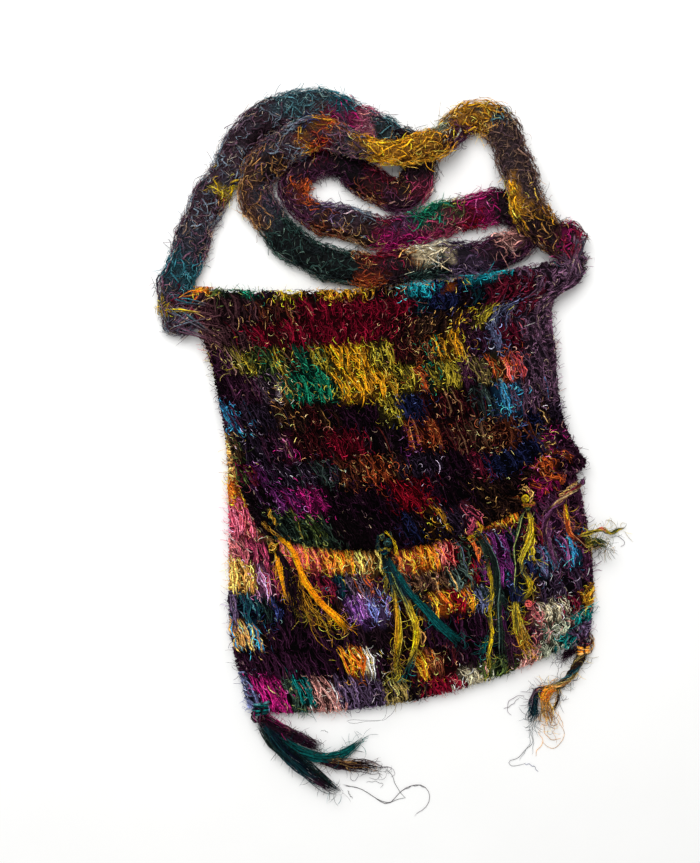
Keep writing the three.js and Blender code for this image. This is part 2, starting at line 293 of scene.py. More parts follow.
# one joined mesh of closed strands, each with a tint, or a tint for each of its points
def strandPiece(name, lines, radii, tints, material):
    count, points = lines.shape[:2]
    sides = strandMake["sides"]
    lines = lines.copy()
    lines[:, :, 2] = np.maximum(lines[:, :, 2], radii + strandMake["clearOfFloor"])
    side, up = lineFrames(lines)
    angle = np.arange(sides) * 2 * math.pi / sides
    around = np.cos(angle)[:, None] * side[:, 1:-1, None, :] + np.sin(angle)[:, None] * up[:, 1:-1, None, :]
    rings = lines[:, 1:-1, None, :] + around * radii[:, 1:-1, None, None]
    verts = np.concatenate([lines[:, :1], rings.reshape(count, -1, 3), lines[:, -1:]], axis=1)

    faces = strandPattern(points, sides)
    corner = np.array([spot for face in faces for spot in face])
    sizes = np.array([len(face) for face in faces])
    perStrand = verts.shape[1]
    loopVerts = corner[:, 0].astype(np.int64)[None, :] + perStrand * np.arange(count)[:, None]
    loopStarts = np.concatenate([[0], np.cumsum(sizes)[:-1]])
    loopStarts = loopStarts[None, :] + sizes.sum() * np.arange(count)[:, None]

    mesh = bpy.data.meshes.new(name)
    mesh.vertices.add(count * perStrand)
    mesh.vertices.foreach_set("co", verts.astype(np.float32).ravel())
    mesh.loops.add(loopVerts.size)
    mesh.loops.foreach_set("vertex_index", loopVerts.astype(np.int32).ravel())
    mesh.polygons.add(loopStarts.size)
    mesh.polygons.foreach_set("loop_start", loopStarts.astype(np.int32).ravel())
    mesh.update(calc_edges=True)
    mesh.validate()
    mesh.shade_smooth()

    # each strand has a cell of its own in the flat map, so that its colour bakes apart
    margin = strandMake["cellMargin"]
    columns = math.ceil(math.sqrt(count))
    cell = np.stack([np.arange(count) % columns, np.arange(count) // columns], axis=1)[:, None, :]
    inside = np.stack([corner[:, 1] / (points - 1), corner[:, 2] / sides], axis=1)
    flatMap = (cell + margin + (1 - 2 * margin) * inside[None]) / columns
    mesh.uv_layers.new(name="OFBake").uv.foreach_set("vector", flatMap.astype(np.float32).ravel())
    spun = np.linalg.norm(np.diff(lines, axis=1), axis=2).sum(axis=1)[:, None, None]
    lay = inside[None] * np.concatenate([spun / strandMake["layLength"], np.ones_like(spun)], axis=2)
    lay = lay + dice.random((count, 1, 2)) * strandMake["layShift"]
    mesh.uv_layers.new(name="yarnLay").uv.foreach_set("vector", lay.astype(np.float32).ravel())
    if tints.ndim == 2:
        tints = np.repeat(tints[:, None], points, axis=1)
    rgba = np.ones((count, perStrand, 4), np.float32)
    rgba[:, 0, :3] = tints[:, 0]
    rgba[:, 1:-1, :3] = np.repeat(tints[:, 1:-1], sides, axis=1)
    rgba[:, -1, :3] = tints[:, -1]
    mesh.attributes.new("yarnTint", "FLOAT_COLOR", "POINT").data.foreach_set("color", rgba.ravel())

    piece = bpy.data.objects.new(name, mesh)
    scene.collection.objects.link(piece)
    mesh.materials.append(material)
    print(name, count, "strands", count * (2 * sides + 2 * sides * (points - 3)), "triangles")
    return piece


def taperedRadii(count, points, thick, kind):
    spread, ends = strandTapers[kind]
    place = np.linspace(-1, 1, points)[None, :]
    full = thick * np.exp(dice.normal(0, spread, (count, 1)))
    return 0.5 * full * (1 - (1 - ends) * np.abs(place) ** 3)


# an object from a finished bmesh
def pieceFrom(shape, name):
    mesh = bpy.data.meshes.new(name)
    shape.to_mesh(mesh)
    shape.free()
    piece = bpy.data.objects.new(name, mesh)
    scene.collection.objects.link(piece)
    return piece


# a node's sockets take links from other sockets, or values
def fillSockets(tree, node, sockets):
    for name, value in sockets.items():
        if isinstance(value, bpy.types.NodeSocket):
            tree.links.new(value, node.inputs[name])
        else:
            node.inputs[name].default_value = value


def addNode(tree, kind, sockets, **settings):
    node = tree.nodes.new("ShaderNode" + kind)
    for name, value in settings.items():
        setattr(node, name, value)
    fillSockets(tree, node, sockets)
    return node


# the look of spun fibre, and of each piece's yarn
fibreLook = {
    "stretch": (1.6, 9.0, 1.0),
    "streakDetail": 3.0,
    "streaks": (0.3, 0.7),  # the part of the noise that shows
    "curlScales": (330.0, 520.0),
    "curlDistortion": 0.5,
    "curlWidth": 0.07,
    "curlLight": (0.6, 1.7),
    "rough": (0.75, 0.5),
    "bump": 0.6,
}
yarnLooks = {
    "pouchYarn": {"contrast": 0.6, "fineness": 1.0, "bumpDepth": 0.0003, "sheen": 0.02},
    "flapYarn": {"contrast": 0.6, "fineness": 1.1, "bumpDepth": 0.0003, "sheen": 0.015},
    "strapYarn": {"contrast": 0.6, "fineness": 1.0, "bumpDepth": 0.0003, "sheen": 0.06},
    "tasselYarn": {"contrast": 0.4, "fineness": 1.3, "bumpDepth": 0.0002, "sheen": 0.05},
}


# fine curled fibres run where a noise passes through its middle
def curledFibres(tree, place, scale):
    noise = addNode(tree, "TexNoise", {
        "Vector": place, "Scale": scale, "Detail": 1.0, "Distortion": fibreLook["curlDistortion"],
    })
    fromMiddle = addNode(tree, "Math", {0: noise.outputs["Fac"], 1: 0.5}, operation="SUBTRACT")
    size = addNode(tree, "Math", {0: fromMiddle.outputs["Value"]}, operation="ABSOLUTE")
    line = addNode(tree, "MapRange", {
        "Value": size.outputs["Value"], "From Max": fibreLook["curlWidth"], "To Min": 1.0, "To Max": 0.0,
    })
    return line.outputs["Result"]


# fibres along the yarn, for every yarn material
def fibreGroup():
    group = bpy.data.node_groups.new("spunFibre", "ShaderNodeTree")
    for name, kind in (("Lay", "Vector"), ("Tint", "Color"), ("Contrast", "Float"), ("Fineness", "Float")):
        group.interface.new_socket(name, in_out="INPUT", socket_type="NodeSocket" + kind)
    for name, kind in (("Colour", "Color"), ("Rough", "Float"), ("Height", "Float")):
        group.interface.new_socket(name, in_out="OUTPUT", socket_type="NodeSocket" + kind)
    come = group.nodes.new("NodeGroupInput")
    go = group.nodes.new("NodeGroupOutput")
    stretch = addNode(group, "VectorMath", {
        0: come.outputs["Lay"], 1: fibreLook["stretch"],
    }, operation="MULTIPLY")
    scale = addNode(group, "VectorMath", {
        0: stretch.outputs["Vector"], "Scale": come.outputs["Fineness"],
    }, operation="SCALE")
    streak = addNode(group, "TexNoise", {
        "Vector": scale.outputs["Vector"], "Scale": 1.0, "Detail": fibreLook["streakDetail"],
    }, noise_dimensions="2D")
    # streaks darken or lighten the ply
    low = addNode(group, "Math", {0: 1.0, 1: come.outputs["Contrast"]}, operation="SUBTRACT")
    high = addNode(group, "Math", {0: 1.0, 1: come.outputs["Contrast"]}, operation="ADD")
    shade = addNode(group, "MapRange", {
        "Value": streak.outputs["Fac"],
        "From Min": fibreLook["streaks"][0],
        "From Max": fibreLook["streaks"][1],
        "To Min": low.outputs["Value"],
        "To Max": high.outputs["Value"],
    })
    place = addNode(group, "TexCoord", {}).outputs["Object"]
    curls = [curledFibres(group, place, size) for size in fibreLook["curlScales"]]
    either = addNode(group, "Math", {0: curls[0], 1: curls[1]}, operation="MAXIMUM")
    lift = addNode(group, "MapRange", {
        "Value": either.outputs["Value"],
        "To Min": fibreLook["curlLight"][0],
        "To Max": fibreLook["curlLight"][1],
    })
    both = addNode(group, "Math", {
        0: shade.outputs["Result"], 1: lift.outputs["Result"],
    }, operation="MULTIPLY")
    colour = addNode(group, "VectorMath", {
        0: come.outputs["Tint"], "Scale": both.outputs["Value"],
    }, operation="SCALE")
    rough = addNode(group, "MapRange", {
        "Value": streak.outputs["Fac"], "To Min": fibreLook["rough"][0], "To Max": fibreLook["rough"][1],
    })
    fillSockets(group, go, {
        "Colour": colour.outputs["Vector"],
        "Rough": rough.outputs["Result"],
        "Height": streak.outputs["Fac"],
    })
    return group


spunFibre = fibreGroup()


def yarnMaterial(name, look):
    material = bpy.data.materials.new(name)
    material.use_nodes = True
    tree = material.node_tree
    tint = addNode(tree, "Attribute", {}, attribute_name="yarnTint")
    lay = addNode(tree, "UVMap", {}, uv_map="yarnLay")
    fibre = addNode(tree, "Group", {
        "Lay": lay.outputs["UV"],
        "Tint": tint.outputs["Color"],
        "Contrast": look["contrast"],
        "Fineness": look["fineness"],
    }, node_tree=spunFibre)
    bump = addNode(tree, "Bump", {
        "Height": fibre.outputs["Height"], "Strength": fibreLook["bump"], "Distance": look["bumpDepth"],
    })
    fillSockets(tree, tree.nodes["Principled BSDF"], {
        "Base Color": fibre.outputs["Colour"],
        "Roughness": fibre.outputs["Rough"],
        "Normal": bump.outputs["Normal"],
        "Specular IOR Level": look["sheen"],
    })
    return material


pouchYarn, flapYarn, strapYarn, tasselYarn = (yarnMaterial(name, look) for name, look in yarnLooks.items())
print("yarn materials made")


# a spot on a worked surface: across and down it as fractions, and up off it in metres
def onSurface(surface, across, down, height):
    points = surface["points"]
    normals = surface["normals"]
    if surface["wraps"]:
        across = across % 1.0
    x = across * (points.shape[1] - 1)
    y = down * (points.shape[0] - 1)
    i = np.clip(np.floor(x).astype(int), 0, points.shape[1] - 2)
    j = np.clip(np.floor(y).astype(int), 0, points.shape[0] - 2)
    fx = (x - i)[..., None]
    fy = (y - j)[..., None]

    def blend(grid):
        upper = grid[j, i] * (1 - fx) + grid[j, i + 1] * fx
        lower = grid[j + 1, i] * (1 - fx) + grid[j + 1, i + 1] * fx
        return upper * (1 - fy) + lower * fy

    return blend(points) + blend(normals) * height[..., None]


def surfaceFrom(points, normals, wraps):
    normals = normals / np.linalg.norm(normals, axis=2, keepdims=True)
    middle = points.shape[1] // 2
    wide = np.linalg.norm(np.diff(points, axis=1), axis=2).sum(axis=1).mean()
    tall = np.linalg.norm(np.diff(points[:, middle], axis=0), axis=1).sum()
    return {"points": points, "normals": normals, "wraps": wraps, "wide": wide, "tall": tall}


# how far down a surface the rows' edges lie, at places across it
def edgeDown(edges, edge, across):
    place = np.rint(np.clip(across, 0, 1) * (edges.shape[1] - 1)).astype(int)
    return edges[edge, place]


# how far stitches may pass the sides and ends of what they are worked on
stitchReach = {"across": (-0.004, 1.004), "down": (0, 1.01)}


# the strands of every stitch, and which stitch each is of;
# legs are drawn in stitch widths, row heights and metres of rise
def stitchStrands(surface, rows, columns, edges, work):
    row, column = (grid.ravel() for grid in np.meshgrid(rows, np.arange(columns), indexing="ij"))
    legs = np.array(work["legs"])
    jitter = np.array(work["jitter"])
    knots = np.tile(legs, (len(row), 1, 1))
    knots = knots + dice.normal(0, 1, knots.shape) * jitter
    whole = dice.normal(0, 1, (len(row), 1, 3)) * jitter
    knots = knots + np.repeat(whole, len(legs), axis=0)
    across = (np.repeat(column, len(legs))[:, None] + 0.5 + knots[:, :, 0]) / columns
    rowOf = np.repeat(row, len(legs))[:, None]
    around = across % 1.0 if surface["wraps"] else across
    top = edgeDown(edges, rowOf, around)
    tall = edgeDown(edges, rowOf + 1, around) - top
    if not surface["wraps"]:
        across = np.clip(across, *stitchReach["across"])
    down = np.clip(top + tall * knots[:, :, 1], *stitchReach["down"])
    lines = throughPoints(onSurface(surface, across, down, knots[:, :, 2]), work["points"])
    lines = crimped(plied(lines, work), work["crimp"], work["waves"])
    stitch = np.tile(np.repeat(np.arange(len(row)), len(legs)), work["plies"])
    return lines, row, column, stitch


# loose fibres that wander over a surface or stand off its edge
def fibreLines(surface, across, down, heading, fibre):
    count = len(across)
    most = strandMake["mostCurl"]
    step = np.linspace(0, 1, fibre["points"])[None, :]
    curl = np.clip(dice.normal(0, fibre["curl"], (count, 1)), -most, most)
    turn = heading[:, None] + curl * (step - 0.5)
    stride = dice.uniform(*fibre["length"], (count, 1)) / (fibre["points"] - 1)
    stride = np.broadcast_to(stride, turn.shape).copy()
    stride[:, 0] = 0
    gone = np.stack([np.cumsum(np.cos(turn) * stride, axis=1), -np.cumsum(np.sin(turn) * stride, axis=1)])
    rise = dice.uniform(*fibre["rise"], (count, 1))
    stand = np.abs(dice.normal(0, fibre["stand"], (count, 1)))
    arch = dice.uniform(0, fibre["arch"], (count, 1))
    height = rise + stand * step + arch * 4 * step * (1 - step)
    spotAcross = across[:, None] + gone[0] / surface["wide"]
    spotDown = down[:, None] + gone[1] / surface["tall"]
    return onSurface(surface, spotAcross, spotDown, height)


def fibrePiece(name, lines, shades, fibre, mix, material):
    radii = taperedRadii(len(lines), fibre["points"], fibre["thick"], "fibre")
    return strandPiece(name, lines, radii, pickTints(shades, mix), material)


groundLay = (0.01, 0.006)  # metres of ground that one length and width of streaks covers


# tint and lay of the dense yarn under the stitches, vertex by vertex; its tint is the second ply darkened by
# depth, painted shade that shows in the gaps between strands
def groundYarn(mesh, shades, along, around, depth, material):
    tints = np.ones((len(mesh.vertices), 4), np.float32)
    # painted shade: the ground's colour is darkened by depth
    tints[:, :3] = shadeTints[shades, 1] * shadeDepths[shades, 1] ** dyeDepth["groundSink"] * depth
    mesh.attributes.new("yarnTint", "FLOAT_COLOR", "POINT").data.foreach_set("color", tints.ravel())
    corners = np.zeros(len(mesh.loops), np.int32)
    mesh.loops.foreach_get("vertex_index", corners)
    lay = np.stack([along / groundLay[0], around / groundLay[1]], axis=1)[corners]
    mesh.uv_layers.new(name="yarnLay").uv.foreach_set("vector", lay.astype(np.float32).ravel())
    mesh.materials.append(material)
    mesh.shade_smooth()


# the strap: one long knitted band from the left top corner to the right one
strapMake = {
    "wide": 0.024,
    "thick": 0.013,
    "length": 1.2257,
    "stitchRise": 0.0012,  # stitches stand this far off the core
    "roundEnd": 0.011,
    "leastEnd": 0.02,
    "waves": ((0.04, 0.0053), (0.03, 0.0029)),  # slow changes of width: depth and pace
    "lumps": ((0.09, 0.0105, 1.7), (0.06, 0.0061, -2.3)),  # depth, pace and turn round it
    "wales": 10,  # columns of stitches round it
    "courses": 150,
    "grid": (800, 49),  # rings along it, and spots round each
    "coreEvery": (4, 3),  # the core keeps every fourth ring and third spot
    "fineSteps": 721,
    # the core is darkened this much as painted shade between the stitches
    "coreShadeTint": 0.7,
    "fuzz": 12500,
    "curls": 300,
    "edgeFibres": 2400,
    "sides": (0.25, 0.75),
    "sideSpread": 0.06,
}
strapRoute = [  # x, y and lift of the underside
    (-0.170, 0.117, 0.000), (-0.175, 0.141, 0.000), (-0.164, 0.185, 0.000), (-0.135, 0.244, 0.000),
    (-0.115, 0.273, 0.000), (-0.084, 0.289, 0.000), (-0.051, 0.284, 0.000), (0.003, 0.254, 0.000),
    (0.010, 0.241, 0.000), (0.006, 0.228, 0.000), (-0.006, 0.222, 0.000), (-0.027, 0.231, 0.000),
    (-0.050, 0.246, 0.000), (-0.070, 0.248, 0.000), (-0.083, 0.238, 0.000), (-0.085, 0.221, 0.000),
    (-0.074, 0.210, 0.000), (-0.050, 0.201, 0.000), (-0.010, 0.194, 0.000), (0.054, 0.212, 0.000),
    (0.075, 0.2125, 0.000), (0.086, 0.208, 0.000), (0.090, 0.194, 0.000), (0.080, 0.183, 0.000),
    (-0.006, 0.169, 0.000), (-0.042, 0.166, 0.000), (-0.083, 0.183, 0.000), (-0.109, 0.209, 0.0003),
    (-0.114, 0.229, 0.001), (-0.101, 0.251, 0.008), (-0.070, 0.265, 0.014), (-0.012, 0.251, 0.014),
    (0.020, 0.259, 0.013), (0.036, 0.273, 0.004), (0.055, 0.281, 0.002), (0.072, 0.269, 0.003),
    (0.081, 0.242, 0.009), (0.089, 0.213, 0.014), (0.103, 0.194, 0.012), (0.117, 0.188, 0.006),
    (0.132, 0.190, 0.004),
]
# where the strap is drawn narrow: place along it, reach in metres, and how much
strapPinches = [(0.458, 0.020, 0.26), (1.000, 0.034, 0.46), (1.064, 0.014, 0.16), (0.648, 0.014, 0.12)]
# shades along its left and right halves, in millimetres
strapRuns = [readRun(run) for run in (
    "slateMix 22 yellow 5 tealGrey 1 plumMix 14 tealDull 14 plumMix 26 slateMix 30 plumMix 10"
    " slateMix 36 greyPlum 12 plumMix 12 slateMix 14 tealGrey 12 tealGrey 18 tealDull 22"
    " maroonPink 8 pinkDull 8 plumMix 12 tealGrey 14 black 30 maroonPink 14 plum 26 rustTan 18"
    " blackPlum 22 plum 38 rust 30 slatePlum 24 slateMix 30 wine 20 mauve 10 emerald 20 moss 14"
    " magentaRed 30 black 20 plum 24 blackPlum 22 slatePlum 38 greenBlack 25 black 21 rust 25"
    " greenBlack 71 brownMix 48 plumMix 22 slateMix 18 navy 8 gold 8 rust 10 plumMix 12 mustard 68"
    " greyGreen 12 gold 8 mustard 22 tealGrey 6 umberMix 73 gold 12 umber 24 magentaRed 12 wine 5",
    "plumMix 22 wine 12 tealDull 18 plumMix 2 plumMix 24 plumMix 14 slateMix 16 rustTan 6 plumMix 3"
    " yellow 8 plumMix 5 slateMix 22 black 36 slateMix 16 tealGrey 14 slateMix 8 brownMix 4"
    " magentaRed 28 pinkDull 16 slateGreen 16 black 44 umber 15 umberRed 17 wine 18 blackPlum 20"
    " wine 20 plum 50 rustTan 20 tanBrown 34 magentaRed 32 maroonPink 24 crimson 20 magentaRed 16"
    " black 16 blackPlum 16 pinkBrown 28 plum 22 lilacDark 20 cream 20 tan 6 wine 20 crimson 8"
    " rustTan 20 greenBlack 70 plumMix 40 umber 18 slateMix 26 gold 8 rust 8 crimson 8 plumMix 24"
    " mustard 26 gold 40 plum 16 gold 20 tan 8 umberMix 54 mustard 20 umber 34 magentaRed 6 wine 4"
    " plumMix 9",
)]
# how shades blend: a slow sway, and uneven ends along and across
strapBlend = {"sway": 0.004, "swayPace": 90, "along": 0.003, "across": 0.05}
strapWork = {
    # a slim V of two legs: widths, heights and rise
    "legs": [
        [(-0.45, 0.00, 0.0004), (-0.55, 0.35, 0.0014), (-0.25, 0.75, 0.0016), (0.05, 1.15, 0.0006)],
        [(0.45, 0.00, 0.0004), (0.55, 0.35, 0.0014), (0.25, 0.75, 0.0016), (-0.05, 1.15, 0.0006)],
    ],
    "plies": 1,
    "plySpread": 0.0009,
    "plyTurns": 0.3,
    "plyThick": 0.00105,
    "points": 5,
    "crimp": 0.0007,
    "waves": 1.2,
    "jitter": (0.18, 0.20, 0.0004),
}
strapFuzz = {
    "points": 4, "length": (0.0030, 0.0072), "curl": 1.6, "rise": (0.0010, 0.0024), "stand": 0.0010,
    "arch": 0.0010, "thick": 0.00030, "wander": 0.55, "over": (0.12, 0.88),
}
strapCurls = {
    "points": 8, "length": (0.006, 0.012), "curl": 3.2, "rise": (0.0018, 0.0030), "stand": 0.0020,
    "arch": 0.0014, "thick": 0.00030, "wander": 1.0, "over": (0.2, 0.8),
}
strapEdge = {
    "points": 6, "length": (0.004, 0.011), "curl": 3.6, "rise": (0.0006, 0.0020), "stand": 0.0042,
    "arch": 0.0012, "thick": 0.00030, "wander": 1.0,
}
routeSteps = {"strap": 24, "tassel": 10}  # steps between two spots of a route


# the curve through the route that keeps its pace between close and far points
def routeCurve(points, perSpan):
    points = np.array(points)
    ends = np.concatenate([[2 * points[0] - points[1]], points, [2 * points[-1] - points[-2]]])
    t = np.linspace(0, 1, perSpan, endpoint=False)[:, None]
    line = []
    for a, b, c, d in zip(ends, ends[1:], ends[2:], ends[3:]):
        before, here, after = (math.sqrt(np.linalg.norm(q - p)) for p, q in ((a, b), (b, c), (c, d)))
        leave = ((b - a) / before - (c - a) / (before + here) + (c - b) / here) * here
        arrive = ((c - b) / here - (d - b) / (here + after) + (d - c) / after) * here
        bend = 3 * (c - b) - 2 * leave - arrive
        line.append(b + leave * t + bend * t**2 + (2 * (b - c) + leave + arrive) * t**3)
    return np.concatenate(line + [points[-1:]])


def evenly(line, count):
    along = np.concatenate([[0], np.cumsum(np.linalg.norm(np.diff(line, axis=0), axis=1))])
    wanted = np.linspace(0, along[-1], count)
    return np.stack([np.interp(wanted, along, line[:, k]) for k in range(3)], axis=1)


# the strap's fullness along it: round ends, slow waves and pinches
def strapFullness(count):
    along = np.linspace(0, strapMake["length"], count)
    nearest = np.minimum(along, along[::-1])
    fromEnd = np.clip(nearest / strapMake["roundEnd"], strapMake["leastEnd"], 1)
    ends = np.sqrt(1 - (1 - fromEnd) ** 2)
    wide = sum((depth * np.sin(along / pace) for depth, pace in strapMake["waves"]), 1)
    for place, reach, depth in strapPinches:
        wide *= 1 - depth * np.exp(-(((along - place) / reach) ** 2))
    return (ends * wide)[:, None, None], ends[:, None, None]


def strapSurface(line, halfWide, halfThick, around):
    ahead = np.gradient(line, axis=0)
    ahead /= np.linalg.norm(ahead, axis=1, keepdims=True)
    side = np.stack([ahead[:, 1], -ahead[:, 0], np.zeros(len(line))], axis=1)
    side /= np.linalg.norm(side, axis=1, keepdims=True)
    up = np.cross(side, ahead)
    fine = np.linspace(0, 2 * math.pi, strapMake["fineSteps"])
    edge = np.stack([halfWide * np.cos(fine), halfThick * np.sin(fine)], axis=1)
    run = np.concatenate([[0], np.cumsum(np.linalg.norm(np.diff(edge, axis=0), axis=1))])
    # starts underneath and goes round evenly, by the left side first
    angle = -0.5 * math.pi - np.interp(np.linspace(0, run[-1], around), run, fine)
    out = np.cos(angle)[None, :, None] * side[:, None, :]
    over = np.sin(angle)[None, :, None] * up[:, None, :]
    wideness, thickness = strapFullness(len(line))
    along = np.linspace(0, strapMake["length"], len(line))[:, None]
    turned = np.cos(angle)[None, :]
    lumps = sum((depth * np.sin(along / pace + turn * turned) for depth, pace, turn in strapMake["lumps"]), 1)
    points = line[:, None, :] + halfWide * wideness * lumps[:, :, None] * out + halfThick * thickness * over
    return surfaceFrom(points, halfThick * out + halfWide * over, True)


def strapShades(down, across):
    sway = strapBlend["sway"] * np.sin(down * strapBlend["swayPace"])
    along = down + sway + dice.normal(0, strapBlend["along"], len(down))
    left = across % 1.0 + dice.normal(0, strapBlend["across"], len(down)) < 0.5
    return np.where(left, shadeInRun(strapRuns[0], along), shadeInRun(strapRuns[1], along))


# the core is a closed tube of the surface's rings
def makeStrapCore(surface):
    tube = bmesh.new()
    rings = []
    everyRing, everySpot = strapMake["coreEvery"]
    for ring in surface["points"][::everyRing, :-1:everySpot]:
        rings.append([tube.verts.new(spot) for spot in ring])
    for here, there in zip(rings, rings[1:]):
        for i in range(len(here)):
            j = (i + 1) % len(here)
            tube.faces.new((here[i], here[j], there[j], there[i]))
    tube.faces.new(rings[0][::-1])
    tube.faces.new(rings[-1])
    bmesh.ops.recalc_face_normals(tube, faces=tube.faces)
    around = len(rings[0])
    down = np.repeat(np.linspace(0, 1, len(rings)), around)
    across = np.tile(np.arange(around) / around, len(rings))
    core = pieceFrom(tube, "strap_core")
    shades = strapShades(down, across)
    lay = (down * surface["tall"], across * surface["wide"])
    groundYarn(core.data, shades, *lay, strapMake["coreShadeTint"], strapYarn)
    return core


def makeStrapStitches(surface):
    courses = strapMake["courses"]
    wales = strapMake["wales"]
    edges = np.linspace((0, 0), (1, 1), courses + 1)
    lines, row, column, stitch = stitchStrands(surface, np.arange(courses), wales, edges, strapWork)
    shades = strapShades((row[stitch] + 0.5) / courses, (column[stitch] + 0.5) / wales)
    tints = pickTints(shades, strapMix)
    radii = taperedRadii(len(lines), strapWork["points"], strapWork["plyThick"], "stitch")
    return strandPiece("strap_stitches", lines, radii, tints, strapYarn)


def strapFibres(name, surface, fibre, across):
    count = len(across)
    down = dice.random(count)
    heading = dice.choice((-0.5, 0.5), count) * math.pi + dice.normal(0, fibre["wander"], count)
    lines = fibreLines(surface, across, down, heading, fibre)
    return fibrePiece(name, lines, strapShades(down, across), fibre, strapFuzzMix, strapYarn)


def makeStrap():
    halfThick = strapMake["thick"] / 2
    route = [(x, y, lift + halfThick) for x, y, lift in strapRoute]
    rings, around = strapMake["grid"]
    line = evenly(routeCurve(route, routeSteps["strap"]), rings)
    rise = strapMake["stitchRise"]
    surface = strapSurface(line, strapMake["wide"] / 2 - rise, halfThick - rise, around)
    core = makeStrapCore(surface)
    stitches = makeStrapStitches(surface)
    over = dice.uniform(*strapFuzz["over"], strapMake["fuzz"])
    fuzz = strapFibres("strap_fuzz", surface, strapFuzz, over)
    over = dice.uniform(*strapCurls["over"], strapMake["curls"])
    curls = strapFibres("strap_curls", surface, strapCurls, over)
    count = strapMake["edgeFibres"]
    sides = dice.choice(strapMake["sides"], count) + dice.normal(0, strapMake["sideSpread"], count)
    edge = strapFibres("strap_edge_fibres", surface, strapEdge, sides)
    for piece in (core, stitches, fuzz, curls, edge):
        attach(piece, "root")
    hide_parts("strap")
    return surface


strapTop = makeStrap()
print("strap made")

# the pouch and flap, as rows across them: leftX, leftY, midY, rightX, rightY
clothMake = {
    "thick": 0.004,
    "seamGap": 0.0004,
    "flapClearance": 0.001,
    "crown": 0.009,  # how far the springy front stands off the back
    "crownReach": 0.048,
    "swell": {"depth": 0.12, "paceX": 0.031, "startX": 0.8, "paceY": 0.043},  # the crown's unevenness
    "mouthDrop": 0.008,
    "groundThick": 0.0016,  # the dense middle of the cloth
    "groundCells": (40, 48),
    "edgeSteps": 101,
    "fineSteps": 400,
    "facingUp": 0.3,  # row marks are looked for where the cloth faces up this much
}
pouchRows = np.array([
    (-0.159, 0.151, 0.152, 0.132, 0.177),
    (-0.157, 0.127, 0.133, 0.128, 0.158),
    (-0.146, 0.096, 0.109, 0.107, 0.141),
    (-0.140, 0.066, 0.076, 0.109, 0.106),
    (-0.134, 0.015, 0.021, 0.114, 0.058),
    (-0.133, -0.052, -0.050, 0.130, -0.008),
    (-0.131, -0.112, -0.106, 0.138, -0.064),
    (-0.118, -0.165, -0.156, 0.136, -0.109),
])
# the flap lies along the pouch's upper rows
flapRows = np.concatenate([pouchRows[:4], [
    (-0.133, 0.038, 0.045, 0.111, 0.076),
    (-0.124, 0.002, 0.001, 0.117, 0.046),
    (-0.110, -0.030, -0.038, 0.133, 0.019),
]])


# table columns at fractional rows, smooth through the rows
def columnsAt(rows, place):
    last = len(rows) - 1
    place = np.clip(place, 0, last)
    first = np.minimum(place.astype(int), last - 1)
    a, b, c, d = (rows[np.clip(first + step, 0, last)] for step in (-1, 0, 1, 2))
    t = (place - first)[:, None]
    leave = (c - a) / 2
    arrive = (d - b) / 2
    return (
        b * (1 + 2 * t) * (1 - t) ** 2
        + leave * t * (1 - t) ** 2
        + c * t**2 * (3 - 2 * t)
        + arrive * t**2 * (t - 1)
    )


# a row's height across it, through its left, middle and right
def sagY(leftY, midY, rightY, u):
    return leftY * 2 * (u - 0.5) * (u - 1) + midY * 4 * u * (1 - u) + rightY * 2 * u * (u - 0.5)


# plan spots for each place down the rows and each fraction across them
def onRows(rows, across, place):
    leftX, leftY, midY, rightX, rightY = (column[:, None] for column in columnsAt(rows, place).T)
    u = across[None, :]
    return leftX + (rightX - leftX) * u, sagY(leftY, midY, rightY, u)


def easeIn(distance):
    return np.sin(0.5 * math.pi * np.clip(distance / clothMake["crownReach"], 0, 1))


def lowestY(rows, x):
    leftX, leftY, midY, rightX, rightY = rows[-1]
    return sagY(leftY, midY, rightY, np.clip((x - leftX) / (rightX - leftX), 0, 1))


def leftSideX(y):
    return np.interp(y, pouchRows[::-1, 1], pouchRows[::-1, 0])


def rightSideX(y):
    return np.interp(y, pouchRows[::-1, 4], pouchRows[::-1, 3])


def crown(x, y):
    swell = clothMake["swell"]
    uneven = 1 + swell["depth"] * np.sin(x / swell["paceX"] + swell["startX"]) * np.cos(y / swell["paceY"])
    fromSides = easeIn(x - leftSideX(y)) * easeIn(rightSideX(y) - x)
    return clothMake["crown"] * fromSides * easeIn(y - lowestY(pouchRows, x)) * uneven


def frontUnder(x, y):
    return clothMake["thick"] + clothMake["seamGap"] + crown(x, y)


def frontTop(x, y):
    return frontUnder(x, y) + clothMake["thick"]


def flapUnder(x, y):
    return frontTop(x, y) + clothMake["flapClearance"]


# the half circle by which the flap turns over the top
def foldAt(across):
    x, y = (grid[0] for grid in onRows(flapRows, across, np.zeros(1)))
    half = clothMake["thick"] / 2
    radius = flapUnder(x, y) / 2
    return {"x": x, "centreY": y - radius - half, "radius": radius, "level": half + radius}


# places down a row table, evenly spaced along its middle
def evenPlaces(rows, start, count):
    fine = np.linspace(start, len(rows) - 1, clothMake["fineSteps"])
    y = columnsAt(rows, fine)[:, 2]
    return np.interp(np.linspace(0, 1, count), (y[0] - y) / (y[0] - y[-1]), fine)


# which way a gently crowned cloth faces
def crownNormals(x, y):
    near = 0.001
    slopeX = (crown(x + near, y) - crown(x - near, y)) / (2 * near)
    slopeY = (crown(x, y + near) - crown(x, y - near)) / (2 * near)
    return np.stack([-slopeX, -slopeY, np.ones_like(x)], axis=2)


# where a panel begins, this far below the middle of the fold
def placeBelowFold(rows, drop):
    middleY = foldAt(np.array([0.5]))["centreY"][0] - drop
    return np.interp(-middleY, -rows[:, 2], np.arange(len(rows)))


def panelPlan(drop, acrossCount, downCount):
    places = evenPlaces(pouchRows, placeBelowFold(pouchRows, drop), downCount)
    return onRows(pouchRows, np.linspace(0, 1, acrossCount), places)


# the back faces down
def backSurface(acrossCount, downCount):
    x, y = panelPlan(clothMake["seamGap"], acrossCount, downCount)
    points = np.stack([x, y, np.full_like(x, clothMake["thick"] / 2)], axis=2)
    return surfaceFrom(points, np.zeros_like(points) - (0, 0, 1), False)


